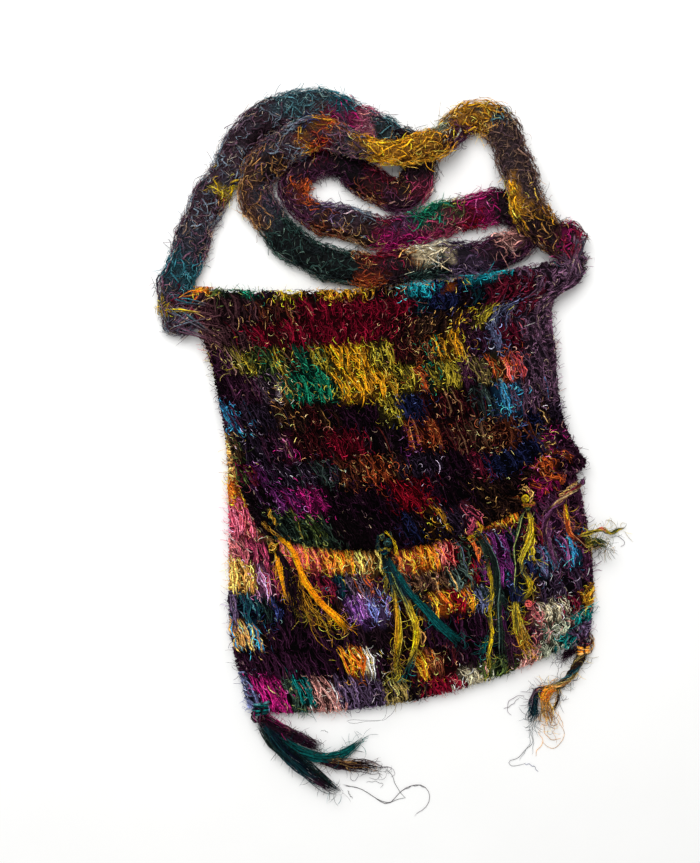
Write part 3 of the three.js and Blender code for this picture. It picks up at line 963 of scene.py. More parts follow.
def frontSurface(acrossCount, downCount):
    x, y = panelPlan(clothMake["mouthDrop"], acrossCount, downCount)
    points = np.stack([x, y, frontUnder(x, y) + clothMake["thick"] / 2], axis=2)
    return surfaceFrom(points, crownNormals(x, y), False)


def flapSurface(acrossCount, downCount):
    across = np.linspace(0, 1, acrossCount)
    fold = foldAt(across)
    middle = acrossCount // 2
    turnLength = math.pi * fold["radius"][middle]
    lyingLength = fold["centreY"][middle] - flapRows[-1, 2]
    turnCount = round(downCount * turnLength / (turnLength + lyingLength))
    turn = (math.pi * (np.linspace(0, 1, turnCount, endpoint=False) - 0.5))[:, None]
    turned = np.stack([
        np.broadcast_to(fold["x"], (turnCount, acrossCount)),
        fold["centreY"] + fold["radius"] * np.cos(turn),
        fold["level"] + fold["radius"] * np.sin(turn),
    ], axis=2)
    turnedFace = np.stack([
        np.zeros((turnCount, acrossCount)),
        np.broadcast_to(np.cos(turn), (turnCount, acrossCount)),
        np.broadcast_to(np.sin(turn), (turnCount, acrossCount)),
    ], axis=2)
    places = evenPlaces(flapRows, placeBelowFold(flapRows, 0), downCount - turnCount)
    x, y = onRows(flapRows, across, places)
    y = np.minimum(y, fold["centreY"])
    lying = np.stack([x, y, flapUnder(x, y) + clothMake["thick"] / 2], axis=2)
    faces = np.concatenate([turnedFace, crownNormals(x, y)])
    return surfaceFrom(np.concatenate([turned, lying]), faces, False)


# the cloth's dense ground: a grid laid on the surface and given its thickness
def groundPiece(name, cloth):
    surface = cloth["surface"]
    grid = bmesh.new()
    wideCells, tallCells = clothMake["groundCells"]
    bmesh.ops.create_grid(grid, x_segments=wideCells, y_segments=tallCells, size=0.5)
    plan = np.array([vert.co for vert in grid.verts])
    across = plan[:, 0] + 0.5
    down = 0.5 - plan[:, 1]
    spots = onSurface(surface, across, down, np.full(len(plan), clothMake["groundThick"] / 2))
    for vert, spot in zip(grid.verts, spots):
        vert.co = spot
    bmesh.ops.recalc_face_normals(grid, faces=grid.faces)
    grid.normal_update()
    if sum(face.normal.z for face in grid.faces) < 0:
        bmesh.ops.reverse_faces(grid, faces=grid.faces)
    bmesh.ops.solidify(grid, geom=grid.faces, thickness=clothMake["groundThick"])
    piece = pieceFrom(grid, name)
    # both faces of the sheet take the same shades
    across = np.tile(across, 2)
    down = np.tile(down, 2)
    shades = clothShades(cloth, across, down)
    lay = (down * surface["tall"], across * surface["wide"])
    groundYarn(piece.data, shades, *lay, cloth["groundShadeTint"], cloth["yarn"])
    return piece


# a cloth's row edges at even steps across it, from the heights where they cross a few lines
def rowEdges(surface, marks, start):
    points = surface["points"]
    even = np.linspace(0, 1, clothMake["edgeSteps"])
    edges = []
    for heights in marks["y"]:
        away = (points[:, :, 0, None] - marks["x"]) ** 2 + (points[:, :, 1, None] - heights) ** 2
        away[surface["normals"][:, :, 2] < clothMake["facingUp"]] = 1
        nearest = away.reshape(-1, len(heights)).argmin(axis=0)
        down, across = np.divmod(nearest, points.shape[1])
        edges.append(np.interp(even, across / (points.shape[1] - 1), down / (points.shape[0] - 1)))
    # rows above the first mark are evenly tall
    share = np.linspace(0, 1, marks["rowsAbove"], endpoint=False)[:, None]
    above = start + (edges[0] - start) * share
    return np.concatenate([above, edges, np.ones((1, len(even)))])


def clothShades(cloth, across, down):
    edges = edgeDown(cloth["edges"], np.arange(len(cloth["edges"]))[:, None], across[None, :])
    row = (edges <= down[None, :]).sum(axis=0) - 1
    return shadeInRows(cloth["runs"], row, across)


shownWork = {
    # a tall leaning stitch: each leg starts up to the left, and they meet in a tooth below;
    # widths, heights and rise
    "legs": [
        [(-0.98, -0.10, 0.0010), (-0.42, 0.30, 0.0015), (-0.02, 0.65, 0.0019), (0.12, 1.05, 0.0015)],
        [(-0.65, -0.14, 0.0010), (-0.12, 0.28, 0.0016), (0.12, 0.62, 0.0020), (0.22, 1.10, 0.0016)],
        [(-0.28, -0.08, 0.0010), (0.18, 0.30, 0.0014), (0.34, 0.65, 0.0018), (0.32, 1.04, 0.0014)],
    ],
    "plies": 3,
    "plySpread": 0.00085,
    "plyTurns": 0.35,
    "plyThick": 0.00115,
    "points": 7,
    "crimp": 0.00085,
    "waves": 2.4,
    "jitter": (0.15, 0.09, 0.0003),
    "stray": 0.12,  # share of strands with a neighbour's shade
}
hiddenWork = {
    "legs": [
        [(-0.60, 0.00, 0.0008), (-0.20, 0.40, 0.0014), (0.10, 0.70, 0.0012), (0.20, 1.05, 0.0008)],
        [(-0.10, 0.00, 0.0008), (0.20, 0.35, 0.0014), (0.40, 0.70, 0.0012), (0.30, 1.05, 0.0008)],
    ],
    "plies": 1,
    "plySpread": 0.0,
    "plyTurns": 0.0,
    "plyThick": 0.0024,
    "points": 6,
    "crimp": 0.0004,
    "waves": 1.0,
    "jitter": (0.10, 0.045, 0.0002),
    "stray": 0.1,
}
# painted shade along a strand: darkened where it comes out from under the row above, a touch lighter near its
# tooth
strandPaintedShade = ((0, 0.15, 0.35, 0.9, 1), (0.55, 0.75, 1.0, 1.05, 0.9))
# how far shades slip over their ends, in stitches
shadeSlip = {"stitch": 0.55, "stray": 1.6, "fibre": 0.6}
rowEnd = 0.999  # the last place down a cloth


def workRows(name, cloth, rows, work):
    columns = cloth["columns"]
    lines, row, column, stitch = stitchStrands(cloth["surface"], rows, columns, cloth["edges"], work)
    slip = dice.normal(0, shadeSlip["stitch"], len(row))
    stray = dice.random(len(lines)) < work["stray"]
    spot = column[stitch] + 0.5 + slip[stitch] + stray * dice.normal(0, shadeSlip["stray"], len(lines))
    shades = shadeInRows(cloth["runs"], row[stitch], spot / columns)
    # painted shade along each strand, from under the row above down to its tooth
    paintedShade = np.interp(np.linspace(0, 1, work["points"]), *strandPaintedShade)
    tints = pickTints(shades, cloth["mix"])[:, None, :] * paintedShade[None, :, None]
    radii = taperedRadii(len(lines), work["points"], work["plyThick"], "stitch")
    return strandPiece(name, lines, radii, tints, cloth["yarn"])


clothFuzz = {
    "points": 5, "length": (0.0030, 0.0072), "curl": 2.8, "rise": (0.0018, 0.0030), "stand": 0.0008,
    "arch": 0.0010, "thick": 0.00038, "spill": 0.0032,
}
clothCurls = {
    "points": 8, "length": (0.007, 0.014), "curl": 3.2, "rise": (0.0022, 0.0032), "stand": 0.0012,
    "arch": 0.0014, "thick": 0.00034, "spill": 0.004,
}
edgeHairs = {
    "points": 7, "length": (0.004, 0.011), "curl": 2.8, "rise": (-0.0030, 0.0012), "stand": 0.0012,
    "arch": 0.0010, "thick": 0.00028, "wander": 0.7,
}
foldHairs = {
    "points": 6, "length": (0.002, 0.006), "curl": 2.6, "rise": (0.0012, 0.0024), "stand": 0.0034,
    "arch": 0.0010, "thick": 0.00028, "spill": 0.002,
}
# fibres lean as the stitches do: half turns, and how unevenly in radians
fibreHeading = {"lean": -0.3, "wander": 0.9}


# fibres within a span of the cloth: across from and to, then down from and to
def looseFibres(name, cloth, count, span, fibre):
    across = dice.uniform(span[0], span[1], count)
    down = dice.uniform(span[2], span[3], count)
    wander = dice.normal(0, fibreHeading["wander"], count)
    heading = fibreHeading["lean"] * math.pi + wander + dice.integers(0, 2, count) * math.pi
    lines = fibreLines(cloth["surface"], across, down, heading, fibre)
    near = across + dice.normal(0, shadeSlip["fibre"], count) / cloth["columns"]
    beside = down + dice.normal(0, fibre["spill"], count) / cloth["surface"]["tall"]
    return fibrePiece(name, lines, clothShades(cloth, near, beside), fibre, cloth["fuzzMix"], cloth["yarn"])


# spots round a cloth's left side, lower edge and right side, and which way is out from each
def edgeSpots(surface, reach):
    tall = surface["tall"]
    wide = surface["wide"]
    onLeft = reach < tall
    onRight = reach > tall + wide
    fromTop = np.where(onLeft, reach, 2 * tall + wide - reach)
    across = np.where(onLeft, 0.0, np.where(onRight, 1.0, (reach - tall) / wide))
    down = np.where(onLeft | onRight, fromTop / tall, 1.0)
    out = np.where(onLeft, math.pi, np.where(onRight, 0.0, -0.5 * math.pi))
    return across, down, out


def edgeLength(surface):
    return 2 * surface["tall"] + surface["wide"]


edgeWrap = {
    "spacing": 0.0030,
    "inset": (0.0055, 0.0010, -0.0017, -0.0004, 0.0035),  # in from the edge
    "insetSpread": (0.7, 1.3),
    "slide": 0.0025,  # along the edge
    "rise": (0.0013, 0.0018),
    "riseSpread": 0.0002,
    "plies": 3,
    "plySpread": 0.0008,
    "plyTurns": 0.4,
    "plyThick": 0.00115,
    "points": 7,
    "crimp": 0.0003,
    "waves": 1.5,
}


# yarn turned over a cloth's edge, from its face to its underside, this far from the tops of its sides
def edgeWraps(name, cloth, span):
    surface = cloth["surface"]
    length = edgeLength(surface)
    reach = np.arange(0, length, edgeWrap["spacing"])
    reach = reach[np.minimum(reach, length - reach) < span]
    across, down, out = edgeSpots(surface, reach)
    spots = (len(reach), len(edgeWrap["inset"]))
    inset = np.array(edgeWrap["inset"]) * dice.uniform(*edgeWrap["insetSpread"], spots)
    slide = dice.normal(0, edgeWrap["slide"], (len(reach), 1)) * np.linspace(-1, 1, spots[1])
    outX = np.cos(out)[:, None]
    outY = -np.sin(out)[:, None]
    knotAcross = across[:, None] + (-outX * inset + outY * slide) / surface["wide"]
    knotDown = down[:, None] + (-outY * inset + outX * slide) / surface["tall"]
    under = -cloth["edgeDepth"]
    rise = np.array((*edgeWrap["rise"], under / 2, under, under))
    rise = rise + dice.normal(0, edgeWrap["riseSpread"], spots)
    lines = throughPoints(onSurface(surface, knotAcross, knotDown, rise), edgeWrap["points"])
    lines = crimped(plied(lines, edgeWrap), edgeWrap["crimp"], edgeWrap["waves"])
    near = np.clip(across + dice.normal(0, shadeSlip["fibre"], len(reach)) / cloth["columns"], 0, 1)
    shades = np.tile(clothShades(cloth, near, np.minimum(down, rowEnd)), edgeWrap["plies"])
    radii = taperedRadii(len(lines), edgeWrap["points"], edgeWrap["plyThick"], "yarn")
    return strandPiece(name, lines, radii, pickTints(shades, cloth["mix"]), cloth["yarn"])


def edgeFibres(name, cloth, count, fibre):
    surface = cloth["surface"]
    across, down, out = edgeSpots(surface, dice.random(count) * edgeLength(surface))
    lines = fibreLines(surface, across, down, out + dice.normal(0, fibre["wander"], count), fibre)
    shades = clothShades(cloth, across, np.minimum(down, rowEnd))
    return fibrePiece(name, lines, shades, fibre, cloth["fuzzMix"], cloth["yarn"])


flapMake = {
    "columns": 32,
    "grid": (81, 241),
    "foldFrom": 0.03,
    "flat": (0.297, 0.215),
    "area": 0.0515,
    # the flap's ground is darkened this much as painted shade under the stitches
    "groundShadeTint": 0.2,
    "edgeDepth": 0.0019,
    "fuzz": 8600,
    "curls": 300,
    "foldHairs": 260,
    "edgeHairs": 320,
    "fuzzSpan": (-0.005, 1.005, 0.04, 1.005),
    "foldSpan": (0.0, 1.0, 0.03, 0.10),
}
# where the flap's row edges cross lines down it
flapMarks = {
    "x": (-0.126, -0.0473, 0.0165, 0.0727),
    "rowsAbove": 1,
    "y": [
        (0.1433, 0.1418, 0.1455, 0.1583),
        (0.123, 0.126, 0.1313, 0.1418),
        (0.105, 0.108, 0.1155, 0.123),
        (0.0855, 0.087, 0.0945, 0.1028),
        (0.066, 0.0653, 0.0727, 0.0803),
        (0.042, 0.0442, 0.054, 0.054),
        (0.021, 0.0232, 0.0307, 0.03),
        (0.0045, 0.0023, 0.012, 0.0097),
        (-0.012, -0.0203, -0.0128, -0.0045),
    ],
}
# shades along each row of the flap, from the fold down to the hem
flapRuns = [readRun(run) for run in (
    "orange 12 moss 20 greenDark 11 emerald 26 plum 10 yellow 22 umber 21 gold 15 umber 5 gold 33"
    " black 18 tanBrown 18 turquoise 27 navy 17 orange 8 navy 12 turquoise 39 wine 12 plumGrey 67",
    "tweed 62 rustTan 22 umberRed 9 maroon 117 tealNavy 16 navy 30 black 14 tealNavy 12 wine 34"
    " plumGrey 55",
    "tweed 51 maroon 25 tanBrown 12 maroon 96 umberRed 19 tanBrown 20 umber 25 mustard 12 plum 13"
    " olive 15 slate 21 wine 10 plumGrey 36",
    "plum 11 tanOlive 10 olive 18 moss 14 emerald 10 olive 8 tanBrown 12 emerald 24 olive 16"
    " mustard 33 olive 20 umberRed 20 rustTan 22 emerald 9 gold 14 mustard 15 plum 21 slate 18"
    " wine 16 plumGrey 32",
    "blackPlum 15 plum 24 greyPlum 20 tan 14 emerald 38 moss 8 mustard 36 gold 18 olive 24 rust 11"
    " emerald 8 olive 25 plum 22 tanOlive 16 rust 14 coral 7 plumGrey 34",
    "plum 3 sky 13 lilacDark 30 umber 30 umberRed 20 umber 12 blackPlum 46 olive 22 navy 32"
    " umberRed 43 slateGreen 14 navy 8 sky 24 plumGrey 38",
    "tanBrown 8 moss 8 lilacDark 24 plum 14 magenta 4 umberRed 38 maroon 33 black 38 purple 12"
    " rustDark 26 umberRed 24 tanBrown 19 rustTan 31 navy 20 tanBrown 6 lilacDark 16",
    "wine 8 moss 6 purple 14 lilacDark 54 slateGreen 18 rustTan 30 rustDark 30 tanBrown 9"
    " lilacDark 30 blackPlum 27 wine 18 navy 51 tan 7 magenta 7 plum 10",
    "black 24 purple 22 magenta 36 blackPlum 60 crimson 45 blackPlum 35 umber 50 magentaRed 10"
    " rust 16 plum 20",
    "black 16 greenDark 34 moss 6 greenDark 23 black 42 blackPlum 26 navy 10 black 13 gold 6"
    " lilacDark 30 pink 5 umber 56 magentaRed 17 rust 6 plum 28",
)]

pouchMake = {
    "columns": 34,
    "rows": 14,
    "frontGrid": (81, 241),
    "backGrid": (81, 161),
    "backFrom": 0.03,
    "frontFlat": (0.289, 0.297),
    "frontArea": 0.0749,
    "backFlat": (0.292, 0.308),
    "backArea": 0.0770,
    # the pouch's ground is darkened this much as painted shade under the stitches
    "groundShadeTint": 0.25,
    "frontEdgeDepth": 0.0056,
    "backEdgeDepth": 0.0019,
    "shownFrom": 5,  # rows above this one lie under the flap
    "fuzz": 6300,
    "curls": 200,
    "edgeHairs": 420,
    "cornerWraps": 0.045,  # wrapped this far down the back's sides
    "pastEdge": 0.005,
}
pouchMarks = {
    "x": (-0.1222, -0.0435, 0.0165, 0.054, 0.114),
    "rowsAbove": 6,
    "y": [
        (0.0075, -0.0015, 0.0015, 0.0075, 0.0225),
        (-0.012, -0.0225, -0.0195, -0.0105, 0.003),
        (-0.0345, -0.0435, -0.0398, -0.03, -0.0165),
        (-0.054, -0.0638, -0.0607, -0.0525, -0.0375),
        (-0.078, -0.0803, -0.0765, -0.0713, -0.0615),
        (-0.0998, -0.1013, -0.0945, -0.0915, -0.081),
        (-0.1207, -0.1193, -0.1185, -0.1125, -0.0968),
        (-0.1388, -0.141, -0.1403, -0.129, -0.1095),
    ],
}
pouchRuns = [readRun(run) for run in (
    "maroon 10 tweed 8 slate 6 plum 10",
    "olive 8 emerald 6 umber 10 plum 10",
    "plum 10 rustTan 8 black 8 wine 8",
    "lilacDark 8 blackPlum 12 rust 6 plum 8",
    "tan 1 plum 8 umberRed 10 navy 8 plum 7",
    "tan 12 wine 60 lilacDark 80 crimson 80 plum 112",
    "orange 22 plum 80 magenta 80 black 60 wine 50 plum 56",
    "pink 16 coral 12 tan 18 greenDark 80 black 60 umber 60 rust 11 orange 30 plum 65",
    "rose 12 maroonPink 26 umber 8 gold 10 coral 22 orangeCoral 18 orange 24 tanGold 30 umber 12"
    " orangeCoral 22 orange 25 coral 12 crimson 14 greenDark 16 rust 6 slate 6 purple 18 tealNavy 10"
    " wine 22 mauve 17 plum 26",
    "tanGold 19 lilacPink 24 maroonPink 6 blackPlum 30 wine 20 tealNavy 16 greyPlum 24 rust 8"
    " plum 22 rustTan 15 tanBrown 38 slateGreen 17 greenDark 11 crimson 8 purple 18 skyDull 8"
    " navy 12 umber 10 slate 4 skyDull 9 mauve 19 sky 13 plum 6",
    "slatePlum 8 tealNavy 22 greenBlack 10 navy 15 blackPlum 40 umber 17 lilac 26 lilacBlue 16"
    " black 22 umber 20 orange 22 crimson 11 orange 13 slate 10 greenBlack 30 navy 8 umber 15"
    " lilacDark 50 plum 4",
    "slatePlum 5 tan 9 sky 9 tanBrown 11 blackPlum 95 black 32 umber 30 blackPlum 70 tealNavy 20"
    " wine 15 rose 8 greyCream 28 wine 13 gold 14",
    "blackPlum 110 orange 23 cream 8 blackPlum 35 orange 17 rustTan 12 umberRed 18 blackPlum 55"
    " plum 16 rose 14 greyGreen 24 pinkBrown 8 teal 16",
    "slate 13 magenta 22 greenDark 21 teal 7 pinkBrown 30 slatePlum 45 tanOlive 28 black 11"
    " maroon 39 greyCream 26 moss 31 pinkBrown 24 greyGreen 22 teal 10 slatePlum 18",
)]


def makeFlap():
    surface = flapSurface(*flapMake["grid"])
    cloth = {
        "surface": surface,
        "columns": flapMake["columns"],
        "edges": rowEdges(surface, flapMarks, flapMake["foldFrom"]),
        "runs": flapRuns,
        "yarn": flapYarn,
        "mix": flapMix,
        "fuzzMix": flapFuzzMix,
        "groundShadeTint": flapMake["groundShadeTint"],
        "edgeDepth": flapMake["edgeDepth"],
    }
    ground = groundPiece("flap_cloth", cloth)
    dressing = [
        workRows("flap_stitches", cloth, np.arange(len(flapRuns)), shownWork),
        looseFibres("flap_fuzz", cloth, flapMake["fuzz"], flapMake["fuzzSpan"], clothFuzz),
        looseFibres("flap_curls", cloth, flapMake["curls"], flapMake["fuzzSpan"], clothCurls),
        looseFibres("flap_fold_hairs", cloth, flapMake["foldHairs"], flapMake["foldSpan"], foldHairs),
        edgeWraps("flap_edge", cloth, math.inf),
        edgeFibres("flap_edge_hairs", cloth, flapMake["edgeHairs"], edgeHairs),
    ]
    for piece in [ground, *dressing]:
        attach(piece, "root")
    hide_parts("flap")
    return cloth


def makePouch():
    surface = frontSurface(*pouchMake["frontGrid"])
    front = {
        "surface": surface,
        "columns": pouchMake["columns"],
        "edges": rowEdges(surface, pouchMarks, 0.0),
        "runs": pouchRuns,
        "yarn": pouchYarn,
        "mix": pouchMix,
        "fuzzMix": pouchFuzzMix,
        "groundShadeTint": pouchMake["groundShadeTint"],
        "edgeDepth": pouchMake["frontEdgeDepth"],
    }
    back = {
        **front,
        "surface": backSurface(*pouchMake["backGrid"]),
        "edges": np.linspace((pouchMake["backFrom"],) * 2, (1, 1), pouchMake["rows"] + 1),
        "edgeDepth": pouchMake["backEdgeDepth"],
    }
    frontGround = groundPiece("front_cloth", front)
    backGround = groundPiece("back_cloth", back)
    firstShown = pouchMake["shownFrom"]
    past = pouchMake["pastEdge"]
    shownSpan = (-past, 1 + past, front["edges"][firstShown].min(), 1 + past)
    frontDressing = [
        workRows("front_stitches", front, np.arange(firstShown, pouchMake["rows"]), shownWork),
        workRows("front_upper_stitches", front, np.arange(0, firstShown), hiddenWork),
        looseFibres("front_fuzz", front, pouchMake["fuzz"], shownSpan, clothFuzz),
        looseFibres("front_curls", front, pouchMake["curls"], shownSpan, clothCurls),
        edgeWraps("pouch_edge", front, math.inf),
        edgeFibres("pouch_edge_hairs", front, pouchMake["edgeHairs"], edgeHairs),
    ]
    backDressing = [
        workRows("back_stitches", back, np.arange(0, pouchMake["rows"]), hiddenWork),
        edgeWraps("back_corners", back, pouchMake["cornerWraps"]),
    ]
    for piece in [frontGround, backGround, *frontDressing, *backDressing]:
        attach(piece, "root")
    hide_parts("front_panel")
    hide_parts("back_panel")


makePouch()
print("pouch made")
flapCloth = makeFlap()
print("flap made")

# yarn that sews the strap's ends to the flap's corners
earMake = {
    "strands": 44,
    "plies": 3,
    "plySpread": 0.0008,
    "plyTurns": 0.5,
    "plyThick": 0.0011,
    "points": 8,
    "crimp": 0.0012,
    "waves": 1.8,
    "rise": (0.0004, 0.0018, 0.0022, 0.0006),  # in the strap, on it, on the flap and in it
    "strapTuck": 0.06,
    "flapTuck": 0.008,
}
# spans on the strap and on the flap, as shares, and which way is inward on the flap
earSpans = {
    "left_ear": {
        "strapDown": (0.000, 0.024), "strapAcross": (0.45, 0.85), "flapAcross": (0.0, 0.06),
        "flapDown": (0.06, 0.26), "inward": 1,
    },
    "right_ear": {
        "strapDown": (0.978, 1.000), "strapAcross": (0.45, 0.85), "flapAcross": (0.94, 1.0),
        "flapDown": (0.03, 0.16), "inward": -1,
    },
}


def makeEar(name, spans):
    count = earMake["strands"]
    keys = ("strapDown", "strapAcross", "flapAcross", "flapDown")
    strapDown, strapAcross, flapAcross, flapDown = (dice.uniform(*spans[key], count) for key in keys)
    rise = [np.full(count, height) for height in earMake["rise"]]
    tuckedAcross = flapAcross + spans["inward"] * earMake["flapTuck"]
    knots = np.stack([
        onSurface(strapTop, strapAcross - earMake["strapTuck"], strapDown, rise[0]),
        onSurface(strapTop, strapAcross, strapDown, rise[1]),
        onSurface(flapCloth["surface"], flapAcross, flapDown, rise[2]),
        onSurface(flapCloth["surface"], tuckedAcross, flapDown, rise[3]),
    ], axis=1)
    lines = plied(throughPoints(knots, earMake["points"]), earMake)
    lines = crimped(lines, earMake["crimp"], earMake["waves"])
    half = earMake["points"] // 2
    onStrap = np.tile(strapShades(strapDown, strapAcross), earMake["plies"])
    onFlap = np.tile(clothShades(flapCloth, flapAcross, flapDown), earMake["plies"])
    shades = np.stack([onStrap] * half + [onFlap] * half, axis=1)
    radii = taperedRadii(len(lines), earMake["points"], earMake["plyThick"], "yarn")
    ear = strandPiece(name, lines, radii, pickTints(shades, strapMix), strapYarn)
    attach(ear, "root")


for name, spans in earSpans.items():
    makeEar(name, spans)
print("ears made")

# the tassels
tasselMake = {
    "points": 10,
    "threadThick": 0.0007,
    "crimp": 0.0007,
    "waves": 2.5,
    "clear": 0.0004,
    "flatten": 0.75,
    "packing": 2.4,  # a sunflower's turn, in radians, which fills a lock's section evenly
    "lineSteps": 80,
    "fall": (0.009, 0.017),  # where a tassel leaves the pouch's side, and how far out it is down
    "hemReach": 0.008,
}
lockHair = {
    "share": 2.3,  # hairs for each thread
    "thick": 0.00028,
    "length": (0.004, 0.012),
    "points": 6,
    "lean": (0.2, 1.5),
    "curl": 2.6,
    "rise": (-0.3, 1.0),  # in radii of the lock
    "stand": 0.001,
}
knotMake = {"turns": 26, "thick": 0.0008, "start": 6.3, "size": (0.6, 1.05), "aside": 0.5}
ringMake = {"thick": 0.0015, "arc": (-0.25, 1.25), "uneven": 0.1, "slope": 0.0007, "pitch": 0.0011}
headMake = {
    "thick": 0.0006, "lift": 0.0016, "plies": 6, "plySpread": 0.0010, "plyTurns": 1.4, "crimp": 0.0008,
    "waves": 2,
}
looseMake = {"thick": 0.00034, "lift": 0.0002, "points": 26, "crimp": 0.0003, "waves": 3}
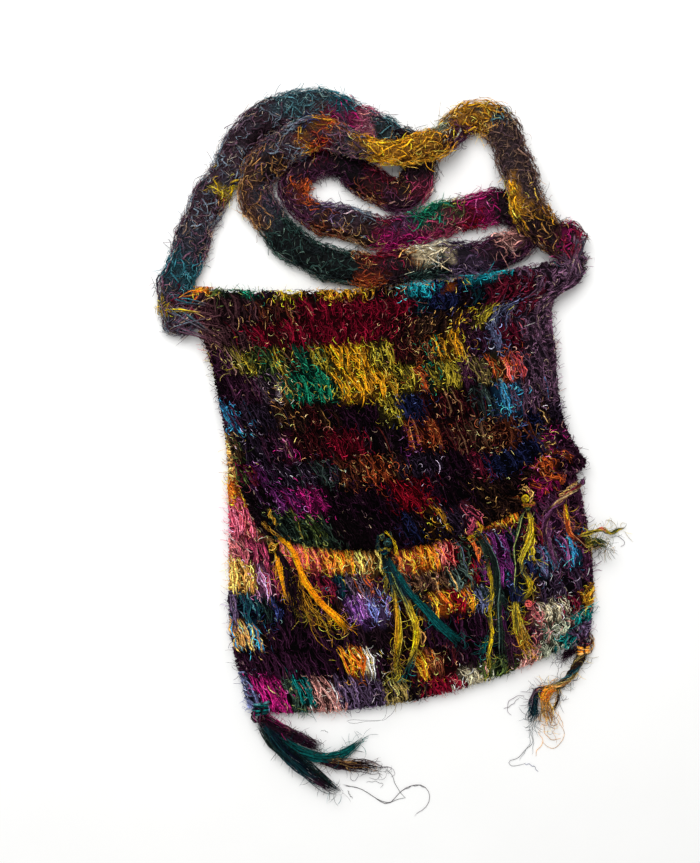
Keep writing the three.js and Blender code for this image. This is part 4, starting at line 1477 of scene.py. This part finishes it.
# knots, rings and locks have x, y and radius at each spot, heads and loose threads x and y,
# in tenths of a millimetre; a lock's threads reach its shortest share of the route or more,
# and its runs stand side by side round it
hemTassels = {
    "hem_tassel_1": {
        "knots": [{"run": "gold 1 umber 1 black 1", "at": "-1013 -420 32"}],
        "heads": [
            {"run": "gold 1", "routes": "-1090 -225, -1050 -275, -983 -325, -937 -345"},
            {"run": "gold 1 olive 1", "routes": "-1042 -130, -1020 -195, -975 -260"},
        ],
        "locks": [
            {"threads": 24, "turns": 0.5, "fray": 0.5, "shortest": 0.7, "runs": "amber 52 gold 30 olive 18",
             "route": "-990 -450 8, -960 -548 24, -953 -607 15, -922 -705 24, -878 -818 13, -810 -915 12,"
             " -750 -998 9"},
            {"threads": 38, "turns": 0.15, "fray": 0.1, "shortest": 0.94, "runs": "amber 1",
             "route": "-968 -345 13, -870 -428 15, -818 -548 18, -788 -653 20, -713 -765 21,"
             " -615 -870 20, -532 -953 25, -428 -1057 32"},
            {"threads": 30, "turns": 0.3, "fray": 0.5, "shortest": 0.6,
             "runs": "blackPlum 1 / black 1 / blackPlum 4 olive 1",
             "route": "-990 -435 20, -907 -570 30, -885 -720 34, -840 -870 34, -795 -1005 34"},
            {"threads": 16, "turns": 0.4, "fray": 1.0, "shortest": 0.5, "thick": 0.0004, "crimp": 0.002,
             "runs": "gold 2 olive 3 / gold 1 / umber 1 gold 2",
             "route": "-825 -615 14, -795 -780 26, -705 -915 46, -585 -1050 66, -450 -1140 74"},
        ],
    },
    "hem_tassel_2": {
        "knots": [
            {"run": "greenDark 3 tealNavy 2 olive 1", "at": "-202 -345 28"},
            {"run": "greenDark 3 tealNavy 2 teal 1", "at": "-158 -382 30"},
            {"run": "tealNavy 2 teal 1 olive 1", "at": "-180 -450 28"},
        ],
        "heads": [
            {"run": "yellow 1", "routes": "-180 -300, -128 -345, -97 -420, -83 -495"},
            {"run": "tealNavy 1 greenDark 1",
             "routes": "-225 -323, -232 -398, -210 -465 / -150 -293, -128 -375, -150 -473"},
            {"run": "yellow 1 olive 1", "routes": "-232 -435, -187 -442, -128 -428"},
        ],
        "locks": [
            {"threads": 28, "turns": 0.4, "fray": 0.4, "shortest": 0.8,
             "runs": "greenDark 26 olive 10 yellow 54 olive 10 / tealNavy 28 olive 8 gold 48 olive 16",
             "route": "-180 -488 12, -143 -630 14, -112 -750 14, -83 -915 19, -75 -1042 30, -90 -1200 22,"
             " -97 -1365 16, -83 -1477 12"},
            {"threads": 44, "turns": 0.2, "fray": 0.1, "shortest": 0.93,
             "runs": "greenBlack 2 tealDeep 3 / tealDeep 1 / tealNavy 2 tealDeep 3",
             "route": "-165 -495 22, -90 -630 24, 0 -750 23, 97 -855 23, 187 -953 28, 293 -1050 36,"
             " 405 -1148 43"},
            {"threads": 28, "turns": 0.5, "fray": 0.5, "shortest": 0.75,
             "runs": "tealNavy 34 olive 8 yellow 28 olive 12 teal 18 / greenDark 36 olive 14 yellow 28"
             " olive 8 teal 14",
             "route": "-150 -510 16, -83 -705 18, 0 -863 22, 53 -990 26, 60 -1125 18, 30 -1237 18,"
             " -15 -1365 26, -30 -1447 20"},
            {"threads": 9, "turns": 0.3, "fray": 0.6, "shortest": 0.7, "runs": "greenDark 1 olive 2",
             "route": "-195 -480 8, -180 -600 10, -165 -720 12, -158 -840 22"},
            {"threads": 14, "turns": 0.2, "fray": 1.2, "shortest": 0.5, "thick": 0.0004, "crimp": 0.002,
             "runs": "olive 1 / umber 1 olive 1",
             "route": "-90 -1125 20, -90 -1275 34, -75 -1395 44, -105 -1515 64"},
        ],
    },
    "hem_tassel_3": {
        "knots": [{"run": "greenDark 2 plum 1 olive 1", "at": "503 -323 30"}],
        "heads": [
            {"run": "pink 1", "routes": "450 -195, 480 -255, 435 -323, 495 -307"},
            {"run": "yellow 1 gold 1",
             "routes": "435 -367, 480 -323, 540 -285 / 495 -232, 540 -270, 518 -323"},
        ],
        "locks": [
            {"threads": 20, "turns": 0.8, "fray": 0.5, "shortest": 0.85,
             "runs": "greenDark 34 yellow 12 olive 14 yellow 14 greenDark 12 yellow 16 olive 28",
             "route": "510 -330 12, 570 -450 12, 600 -585 10, 630 -713 14, 615 -825 10, 607 -938 17,"
             " 630 -1028 9, 615 -1133 15, 600 -1260 16, 615 -1395 30"},
            {"threads": 32, "turns": 0.5, "fray": 0.3, "shortest": 0.85,
             "runs": "greenDark 1 / greenBlack 1 / greenDark 6 olive 1 greenDark 3",
             "route": "525 -330 18, 622 -473 26, 660 -645 26, 668 -863 24, 690 -1103 32, 727 -1305 32"},
            {"threads": 24, "turns": 0.3, "fray": 0.3, "shortest": 0.85,
             "runs": "plum 1 / purple 1 plum 2 / blackPlum 1",
             "route": "683 -825 14, 705 -990 22, 750 -1185 28, 780 -1365 30"},
            {"threads": 10, "turns": 0.2, "fray": 0.3, "shortest": 0.8, "runs": "teal 1",
             "route": "593 -1080 10, 570 -1163 15, 555 -1237 10"},
        ],
    },
    "hem_tassel_4": {
        "knots": [
            {"run": "yellow 3 olive 1", "at": "863 -60 28"},
            {"run": "greenDark 1 moss 1", "at": "885 -135 20"},
            {"run": "coral 2 crimson 1", "at": "892 -840 28"},
        ],
        "heads": [
            {"run": "tan 1 olive 1", "routes": "833 8, 878 15, 915 -30, 900 -97"},
            {"run": "coral 1 gold 1", "routes": "840 -97, 892 -112, 945 -83"},
        ],
        "locks": [
            {"threads": 26, "turns": 0.6, "fray": 0.3, "shortest": 0.9,
             "runs": "yellow 46 olive 14 tealNavy 8 yellow 15 olive 17",
             "route": "885 -143 10, 922 -255 22, 900 -375 26, 840 -518 16, 855 -615 15, 915 -690 20,"
             " 885 -788 14, 818 -855 14"},
            {"threads": 40, "turns": 0.15, "fray": 0.5, "shortest": 0.55, "thick": 0.0006,
             "runs": "yellow 55 olive 20 gold 25 / yellow 40 gold 60 / olive 1 gold 1",
             "route": "795 -825 14, 803 -922 32, 825 -1035 40, 863 -1140 44, 915 -1253 60"},
            {"threads": 7, "turns": 0.2, "fray": 0.2, "shortest": 0.9, "runs": "yellow 1",
             "route": "938 -345 7, 930 -435 10, 938 -540 9"},
            {"threads": 20, "turns": 0.3, "fray": 0.4, "shortest": 0.8,
             "runs": "greenBlack 1 / black 1 / greenDark 1",
             "route": "870 -150 14, 833 -262 20, 803 -413 18, 810 -600 18, 818 -795 20"},
        ],
    },
    "hem_tassel_5": {
        "knots": [{"run": "plum 3 mauve 1", "at": "1313 60 20"}],
        "heads": [
            {"run": "tan 1", "routes": "1275 60, 1200 0, 1125 -53"},
            {"run": "plum 1 mauve 1", "routes": "1335 105, 1290 30, 1215 -30"},
        ],
        "locks": [
            {"threads": 40, "turns": 1.6, "fray": 0.5, "shortest": 0.75,
             "runs": "plum 30 mauve 30 plum 40 / tan 36 umber 20 greyPlum 44 / wine 30 mauve 70 / plum 1",
             "route": "1328 67 18, 1253 15 21, 1163 -60 21, 1072 -135 20, 1028 -210 17, 1020 -307 19,"
             " 1057 -420 28, 1110 -525 34, 1185 -653 42"},
            {"threads": 26, "turns": 0.5, "fray": 0.2, "shortest": 0.9,
             "runs": "rust 50 umberRed 50 / yellow 25 rust 40 umberRed 35 / rust 60 crimson 40",
             "route": "1170 -97 13, 1185 -195 18, 1207 -307 18, 1260 -360 20, 1320 -398 23, 1380 -435 20"},
            {"threads": 16, "turns": 0.8, "fray": 0.2, "shortest": 0.85,
             "runs": "yellow 20 olive 20 coral 10 olive 20 moss 15 yellow 15 / olive 1 moss 1",
             "route": "1275 -353 12, 1380 -315 14, 1455 -293 14, 1530 -330 13, 1590 -307 10, 1658 -285 4"},
            {"threads": 40, "turns": 0.3, "fray": 0.9, "shortest": 0.5, "thick": 0.0006, "crimp": 0.0012,
             "runs": "umber 1 moss 1 / moss 1 / olive 1 umber 2",
             "route": "1320 -398 22, 1395 -398 36, 1462 -405 42, 1507 -442 50"},
        ],
    },
}
cornerTassels = {
    "corner_tassel_left": {
        "knots": [{"run": "plum 2 magenta 1 wine 1 blackPlum 2", "at": "-1125 -1703 62"}],
        "rings": [{"run": "teal 3 tealNavy 1", "at": "-1103 -1643 62", "turns": 7}],
        "heads": [
            {"run": "plum 1",
             "routes": "-1170 -1598, -1155 -1658, -1118 -1710 / -1050 -1605, -1065 -1658, -1095 -1718"},
        ],
        "locks": [
            {"threads": 52, "turns": 0.25, "fray": 0.3, "shortest": 0.86,
             "runs": "wine 1 plum 3 blackPlum 2 / magenta 2 plum 3 / blackPlum 1 / plum 1",
             "route": "-1125 -1695 50, -998 -1785 48, -848 -1860 46, -735 -1913 44, -645 -1958 34"},
            {"threads": 48, "turns": 0.2, "fray": 0.2, "shortest": 0.86,
             "runs": "tealNavy 35 tealDeep 65 / tealNavy 30 teal 70 / tealNavy 1 tealDeep 1",
             "route": "-1110 -1740 42, -960 -1890 44, -810 -1980 44, -622 -2025 42, -473 -1988 36,"
             " -382 -1920 28, -315 -1860 10"},
            {"threads": 60, "turns": 0.25, "fray": 0.2, "shortest": 0.84,
             "runs": "tealNavy 1 / greenBlack 1 / tealNavy 2 plum 1 / greenBlack 1 tealNavy 2",
             "route": "-1110 -1755 46, -990 -1920 56, -810 -2070 60, -622 -2213 58, -495 -2295 26"},
            {"threads": 40, "turns": 0.3, "fray": 0.6, "shortest": 0.6, "thick": 0.0006,
             "runs": "umber 1 blackPlum 1 / tanBrown 1 umber 1 / blackPlum 1",
             "route": "-675 -2040 30, -540 -2070 40, -420 -2078 44, -285 -2085 36, -158 -2122 22"},
        ],
    },
    "corner_tassel_right": {
        "knots": [{"run": "plum 3 wine 2 blackPlum 3", "at": "1328 -1133 62"}],
        "rings": [{"run": "orange 2 tan 1", "at": "1328 -1207 44", "turns": 4}],
        "heads": [
            {"run": "tan 1 gold 1", "routes": "1365 -1065, 1403 -1148, 1380 -1222, 1335 -1253"},
            {"run": "teal 1",
             "routes": "1275 -990, 1268 -1065, 1305 -1125 / 1245 -1035, 1268 -1110, 1298 -1155"},
        ],
        "locks": [
            {"threads": 20, "turns": 0.4, "fray": 0.2, "shortest": 0.8, "runs": "blackPlum 1",
             "route": "1290 -1193 30, 1215 -1237 29, 1148 -1283 22"},
            {"threads": 44, "turns": 1.2, "fray": 0.1, "shortest": 0.92,
             "runs": "tanOlive 1 / tealNavy 1 / umber 1 gold 1 / tanOlive 1 / gold 1 tan 1",
             "route": "1335 -1215 36, 1290 -1305 38, 1237 -1395 36, 1170 -1470 26, 1087 -1500 24,"
             " 998 -1515 22"},
            {"threads": 40, "turns": 0.15, "fray": 0.5, "shortest": 0.5, "thick": 0.0006, "crimp": 0.0012,
             "runs": "amber 45 gold 35 tan 20 / orange 40 tan 60",
             "route": "1140 -1500 18, 1065 -1522 34, 1035 -1575 38, 1050 -1665 50, 1075 -1815 70"},
            {"threads": 34, "turns": 0.3, "fray": 0.6, "shortest": 0.75, "thick": 0.0006,
             "runs": "wine 25 greyPlum 30 tealNavy 45 / umber 30 tealNavy 70 / greyPlum 1 tealNavy 1",
             "route": "1065 -1515 18, 975 -1530 26, 953 -1598 34, 953 -1695 40, 930 -1785 38"},
            {"threads": 9, "turns": 0.8, "fray": 0.2, "shortest": 0.8, "thick": 0.0006,
             "runs": "umber 1 / tanBrown 1",
             "route": "1148 -1492 14, 1140 -1575 12, 1118 -1643 12, 1072 -1695 10"},
        ],
    },
}
# single threads that lie loose, by shade
looseThreads = [
    ("greenBlack", "-165 -2115, -120 -2160, -90 -2235, -53 -2295, -15 -2340"),
    ("greyPlum", "-495 -2228, -420 -2250, -353 -2273, -262 -2325, -150 -2378, -75 -2318, -23 -2273,"
    " 37 -2243, 105 -2235, 158 -2280, 165 -2348, 128 -2415, 67 -2460, 53 -2482"),
    ("greenBlack", "-480 -2243, -390 -2258, -315 -2288, -225 -2348, -143 -2370, -67 -2348, -8 -2333"),
    ("slate", "-30 -2280, 30 -2250, 83 -2243, 135 -2258"),
    ("greyPlum", "-420 -2115, -375 -2160, -390 -2205, -435 -2190, -420 -2145"),
    ("umber", "-330 -2122, -278 -2160, -210 -2152, -232 -2198, -293 -2182"),
    ("umber", "-315 -2220, -248 -2213, -187 -2235, -203 -2265"),
    ("greyPlum", "-270 -2100, -203 -2107, -112 -2115, -97 -2160, -128 -2182"),
    ("umber", "-660 -1822, -630 -1815, -600 -1837"),
    ("teal", "-345 -1898, -315 -1875, -293 -1867"),
    ("umber", "-638 -2228, -622 -2273, -638 -2318"),
    ("umber", "-450 -2280, -435 -2318, -413 -2340"),
    ("greyPlum", "-150 -1605, -165 -1680, -187 -1725, -255 -1740, -330 -1733, -405 -1725, -457 -1740,"
    " -405 -1755, -330 -1748, -255 -1740, -195 -1733"),
    ("greyPlum", "-75 -1590, -105 -1665, -158 -1718, -195 -1740"),
    ("tealNavy", "922 -1785, 938 -1860, 945 -1920, 892 -1980, 833 -2033, 772 -2063, 788 -2092, 855 -2092,"
    " 900 -2070"),
    ("tealNavy", "922 -1800, 953 -1875, 953 -1950, 945 -2010"),
    ("tealNavy", "915 -1815, 930 -1913, 885 -1995, 848 -2055"),
    ("slate", "885 -2078, 930 -2085, 968 -2107, 990 -2145"),
    ("tan", "1072 -1695, 1140 -1748, 1185 -1837, 1170 -1913, 1110 -1958, 1050 -1943, 1013 -1905"),
    ("tan", "1028 -1770, 1050 -1860, 1110 -1898, 1163 -1883"),
    ("gold", "990 -1830, 1028 -1920, 990 -1965, 968 -2025"),
    ("tan", "1110 -1665, 1163 -1740, 1185 -1800"),
    ("black", "1148 -1275, 1133 -1358, 1133 -1433, 1087 -1492"),
    ("greyPlum", "892 -1560, 825 -1568, 772 -1605, 757 -1665, 788 -1718"),
    ("greyPlum", "848 -1575, 788 -1635, 727 -1665"),
    ("umber", "1313 -1290, 1350 -1320, 1388 -1305, 1395 -1268"),
    ("umber", "968 -1492, 930 -1462, 907 -1433"),
    ("greyPlum", "1530 -367, 1583 -353, 1635 -382, 1643 -420, 1613 -435"),
    ("umber", "1440 -442, 1455 -495, 1470 -532"),
    ("olive", "1485 -345, 1522 -382, 1500 -428"),
    ("gold", "863 -1125, 900 -1215, 922 -1305"),
    ("gold", "885 -1163, 953 -1185, 998 -1215"),
    ("rust", "870 -1200, 863 -1283, 870 -1350"),
    ("black", "1365 -870, 1410 -885, 1447 -878"),
]


# the spots of a route in metres
def readRoute(text):
    return np.array([[int(word) for word in spot.split()] for spot in text.split(",")]) / 10000


# what a tassel lies on: the pouch's front, falling to the floor past its sides
def frontLevel(x, y):
    pastSides = np.maximum(leftSideX(y) - x, x - rightSideX(y))
    outside = np.maximum(pastSides, lowestY(pouchRows, x) - y)
    leave, reach = tasselMake["fall"]
    fall = np.clip((outside - leave) / reach, 0, 1)
    return frontTop(x, y) * (1 - fall * fall * (3 - 2 * fall))


# where it begins it lies on the flap, as far as the hem
def hemLevel(x, y):
    reach = tasselMake["hemReach"]
    onFlap = np.clip((y - lowestY(flapRows, x) + reach) / reach, 0, 1)
    return frontLevel(x, y) + onFlap * (clothMake["flapClearance"] + clothMake["thick"])


def floorLevel(x, y):
    return np.zeros_like(x)


# a route over what lies under it, at even steps
def lyingLine(plan, lift, level, count):
    height = level(plan[:, 0], plan[:, 1]) + lift + tasselMake["clear"]
    return evenly(routeCurve(np.column_stack([plan, height]), routeSteps["tassel"]), count)


# a lock's middle line, the radius at each spot of its route, and its runs
def lockParts(lock, level):
    route = readRoute(lock["route"])
    line = lyingLine(route[:, :2], route[:, 2], level, tasselMake["lineSteps"])
    return line, route[:, 2], [readRun(run) for run in lock["runs"].split("/")]


def lockStrands(lock, level):
    count = lock["threads"]
    points = tasselMake["points"]
    line, radiusOf, runs = lockParts(lock, level)
    lineAt = np.linspace(0, 1, len(line))
    step = np.linspace(0, 1, points)[None, :] * dice.uniform(lock["shortest"], 1.0, (count, 1))
    spots = np.stack([np.interp(step, lineAt, line[:, axis]) for axis in range(3)], axis=2)
    side, up = lineFrames(spots)
    place = np.arange(count)[:, None]
    out = np.sqrt((place + 0.5) / count) * np.interp(step, np.linspace(0, 1, len(radiusOf)), radiusOf)
    out = out * (1 + lock["fray"] * step**2 * dice.normal(0, 1, (count, 1)))
    startAngle = tasselMake["packing"] * place
    angle = (startAngle + 2 * math.pi * lock["turns"] * step)[:, :, None]
    lines = spots + out[:, :, None] * (np.cos(angle) * side + tasselMake["flatten"] * np.sin(angle) * up)
    lines = crimped(lines, lock.get("crimp", tasselMake["crimp"]), tasselMake["waves"])
    which = (startAngle / (2 * math.pi) % 1 * len(runs)).astype(int)[:, 0]
    shades = np.stack([shadeInRun(runs[index], spot) for index, spot in zip(which, step)])
    radii = taperedRadii(count, points, lock.get("thick", tasselMake["threadThick"]), "yarn")
    return lines, radii, pickTints(shades, threadMix)


# fine hairs that stand out of a lock
def lockHairs(lock, level):
    count = round(lock["threads"] * lockHair["share"])
    points = lockHair["points"]
    most = strandMake["mostCurl"]
    line, radiusOf, runs = lockParts(lock, level)
    start = dice.integers(2, len(line) - 2, count)
    ahead = line[start + 1] - line[start - 1]
    lean = dice.choice((-1, 1), count) * dice.uniform(*lockHair["lean"], count)
    heading = np.arctan2(ahead[:, 1], ahead[:, 0]) + lean
    step = np.linspace(0, 1, points)[None, :]
    turn = heading[:, None] + np.clip(dice.normal(0, lockHair["curl"], (count, 1)), -most, most) * step
    stride = dice.uniform(*lockHair["length"], (count, 1)) / (points - 1)
    radius = np.interp(start / (len(line) - 1), np.linspace(0, 1, len(radiusOf)), radiusOf)[:, None]
    lines = np.repeat(line[start][:, None], points, axis=1)
    lines[:, :, 0] += np.cumsum(np.cos(turn) * stride, axis=1)
    lines[:, :, 1] += np.cumsum(np.sin(turn) * stride, axis=1)
    rise = dice.uniform(*lockHair["rise"], (count, 1)) * radius
    lines[:, :, 2] += rise + dice.normal(0, lockHair["stand"], (count, 1)) * step
    along = start / len(line)
    shades = np.array([shadeInRun(runs[index % len(runs)], spot) for index, spot in enumerate(along)])
    radii = taperedRadii(count, points, lockHair["thick"], "yarn")
    return lines, radii, pickTints(shades, hairMix)


def runTints(run, count):
    shades = shadeInRun(readRun(run), dice.random(count))
    return pickTints(np.repeat(shades[:, None], tasselMake["points"], axis=1), threadMix)


# a ball of yarn turns
def knotStrands(knot, level):
    count = knotMake["turns"]
    points = tasselMake["points"]
    x, y, radius = readRoute(knot["at"]).T
    centre = np.stack([x, y, level(x, y) + radius + tasselMake["clear"]], axis=1)[:, None, :]
    axis = dice.normal(0, 1, (count, 3))
    axis /= np.linalg.norm(axis, axis=1, keepdims=True)
    first = np.cross(axis, dice.normal(0, 1, (count, 3)))
    first /= np.linalg.norm(first, axis=1, keepdims=True)
    second = np.cross(axis, first)
    start = dice.uniform(0, knotMake["start"], (count, 1))
    angle = (np.linspace(0, math.pi, points)[None, :] + start)[:, :, None]
    radius = radius * dice.uniform(*knotMake["size"], (count, 1, 1))
    aside = dice.uniform(-knotMake["aside"], knotMake["aside"], (count, 1, 1))
    around = np.cos(angle) * first[:, None, :] + np.sin(angle) * second[:, None, :]
    lines = centre + radius * (np.sqrt(1 - aside**2) * around + aside * axis[:, None, :])
    radii = taperedRadii(count, points, knotMake["thick"], "knot")
    return lines, radii, runTints(knot["run"], count)


# yarn bound round a tassel's neck, on the floor
def ringStrands(ring):
    count = ring["turns"]
    points = tasselMake["points"]
    x, y, radius = readRoute(ring["at"])[0]
    uneven = dice.normal(0, ringMake["uneven"], (count, 1))
    angle = np.linspace(*ringMake["arc"], points)[None, :] * math.pi + uneven
    slope = dice.normal(0, ringMake["slope"], (count, 1)) * np.cos(angle)
    shift = np.linspace(-0.5, 0.5, count)[:, None] * ringMake["pitch"] * count
    lines = np.stack([x + radius * np.cos(angle), y + shift + slope, radius * (1 + np.sin(angle))], axis=2)
    radii = taperedRadii(count, points, ringMake["thick"], "ring")
    return lines, radii, runTints(ring["run"], count)


# plied yarn that ties a tassel on
def headStrands(head, level):
    points = tasselMake["points"]
    routes = [readRoute(route) for route in head["routes"].split("/")]
    lines = np.stack([lyingLine(route, headMake["lift"], level, points) for route in routes])
    lines = crimped(plied(lines, headMake), headMake["crimp"], headMake["waves"])
    radii = taperedRadii(len(lines), points, headMake["thick"], "fibre")
    return lines, radii, runTints(head["run"], len(lines))


def bundlePiece(name, bundles):
    lines, radii, tints = (np.concatenate(parts) for parts in zip(*bundles))
    return strandPiece(name, lines, radii, tints, tasselYarn)


def makeTassel(node, tassel, level):
    bundles = [knotStrands(knot, level) for knot in tassel["knots"]]
    bundles += [ringStrands(ring) for ring in tassel.get("rings", [])]
    bundles += [headStrands(head, level) for head in tassel["heads"]]
    bundles += [lockStrands(lock, level) for lock in tassel["locks"]]
    yarn = bundlePiece(node + "_yarn", bundles)
    hairs = bundlePiece(node + "_hairs", [lockHairs(lock, level) for lock in tassel["locks"]])
    for piece in (yarn, hairs):
        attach(piece, "root")
    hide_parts(node)


def makeLooseThreads():
    points = looseMake["points"]
    routes = [readRoute(route) for shade, route in looseThreads]
    lines = np.stack([lyingLine(route, looseMake["lift"], frontLevel, points) for route in routes])
    lines = crimped(lines, looseMake["crimp"], looseMake["waves"])
    shades = np.array([shadeNames.index(shade) for shade, route in looseThreads])
    radii = taperedRadii(len(lines), points, looseMake["thick"], "loose")
    piece = strandPiece("loose_threads", lines, radii, pickTints(shades, threadMix), tasselYarn)
    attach(piece, "root")


for node, tassel in hemTassels.items():
    makeTassel(node, tassel, hemLevel)
for node, tassel in cornerTassels.items():
    makeTassel(node, tassel, floorLevel)
makeLooseThreads()
print("tassels made")

# floor and light
stageMake = {
    "floorHalf": 1.6,
    "grainScale": 14.0,
    "grainDetail": 6.0,
    "tones": ((0.90, 0.90, 0.89, 1), (0.94, 0.94, 0.93, 1)),
    "rough": (0.85, 0.95),
    "bump": 0.05,
    "bumpDepth": 0.0005,
    "skyStrength": 0.58,
    "panelPower": 19.0,
    "panelSize": 1.1,
    "panelAt": (-0.25, 0.75, 1.25),
}


def paleMaterial():
    material = bpy.data.materials.new("paleFloor")
    material.use_nodes = True
    tree = material.node_tree
    place = addNode(tree, "TexCoord", {})
    grain = addNode(tree, "TexNoise", {
        "Vector": place.outputs["Object"],
        "Scale": stageMake["grainScale"],
        "Detail": stageMake["grainDetail"],
    }).outputs["Fac"]
    tone = addNode(tree, "ValToRGB", {"Fac": grain})
    for element, colour in zip(tone.color_ramp.elements, stageMake["tones"]):
        element.color = colour
    least, most = stageMake["rough"]
    rough = addNode(tree, "MapRange", {"Value": grain, "To Min": least, "To Max": most})
    bump = addNode(tree, "Bump", {
        "Height": grain, "Strength": stageMake["bump"], "Distance": stageMake["bumpDepth"],
    })
    fillSockets(tree, tree.nodes["Principled BSDF"], {
        "Base Color": tone.outputs["Color"],
        "Roughness": rough.outputs["Result"],
        "Normal": bump.outputs["Normal"],
    })
    return material


def makeFloor():
    grid = bmesh.new()
    bmesh.ops.create_grid(grid, x_segments=1, y_segments=1, size=stageMake["floorHalf"])
    floor = pieceFrom(grid, "paleFloor")
    floor.data.materials.append(paleMaterial())


def makeLights():
    world = bpy.data.worlds.new("paleSky")
    world.use_nodes = True
    backdrop = world.node_tree.nodes["Background"]
    backdrop.inputs["Color"].default_value = (1, 1, 1, 1)
    backdrop.inputs["Strength"].default_value = stageMake["skyStrength"]
    scene.world = world
    data = bpy.data.lights.new("softPanel", "AREA")
    data.energy = stageMake["panelPower"]
    data.size = stageMake["panelSize"]
    panel = bpy.data.objects.new("softPanel", data)
    panel.location = stageMake["panelAt"]
    aim = bpy.data.objects["flatLayCamera"].location.copy()
    aim.z = 0
    panel.rotation_euler = (panel.location - aim).to_track_quat("Z", "Y").to_euler()
    scene.collection.objects.link(panel)
    scene.view_settings.view_transform = "Standard"


makeFloor()
makeLights()
print("floor and light set")
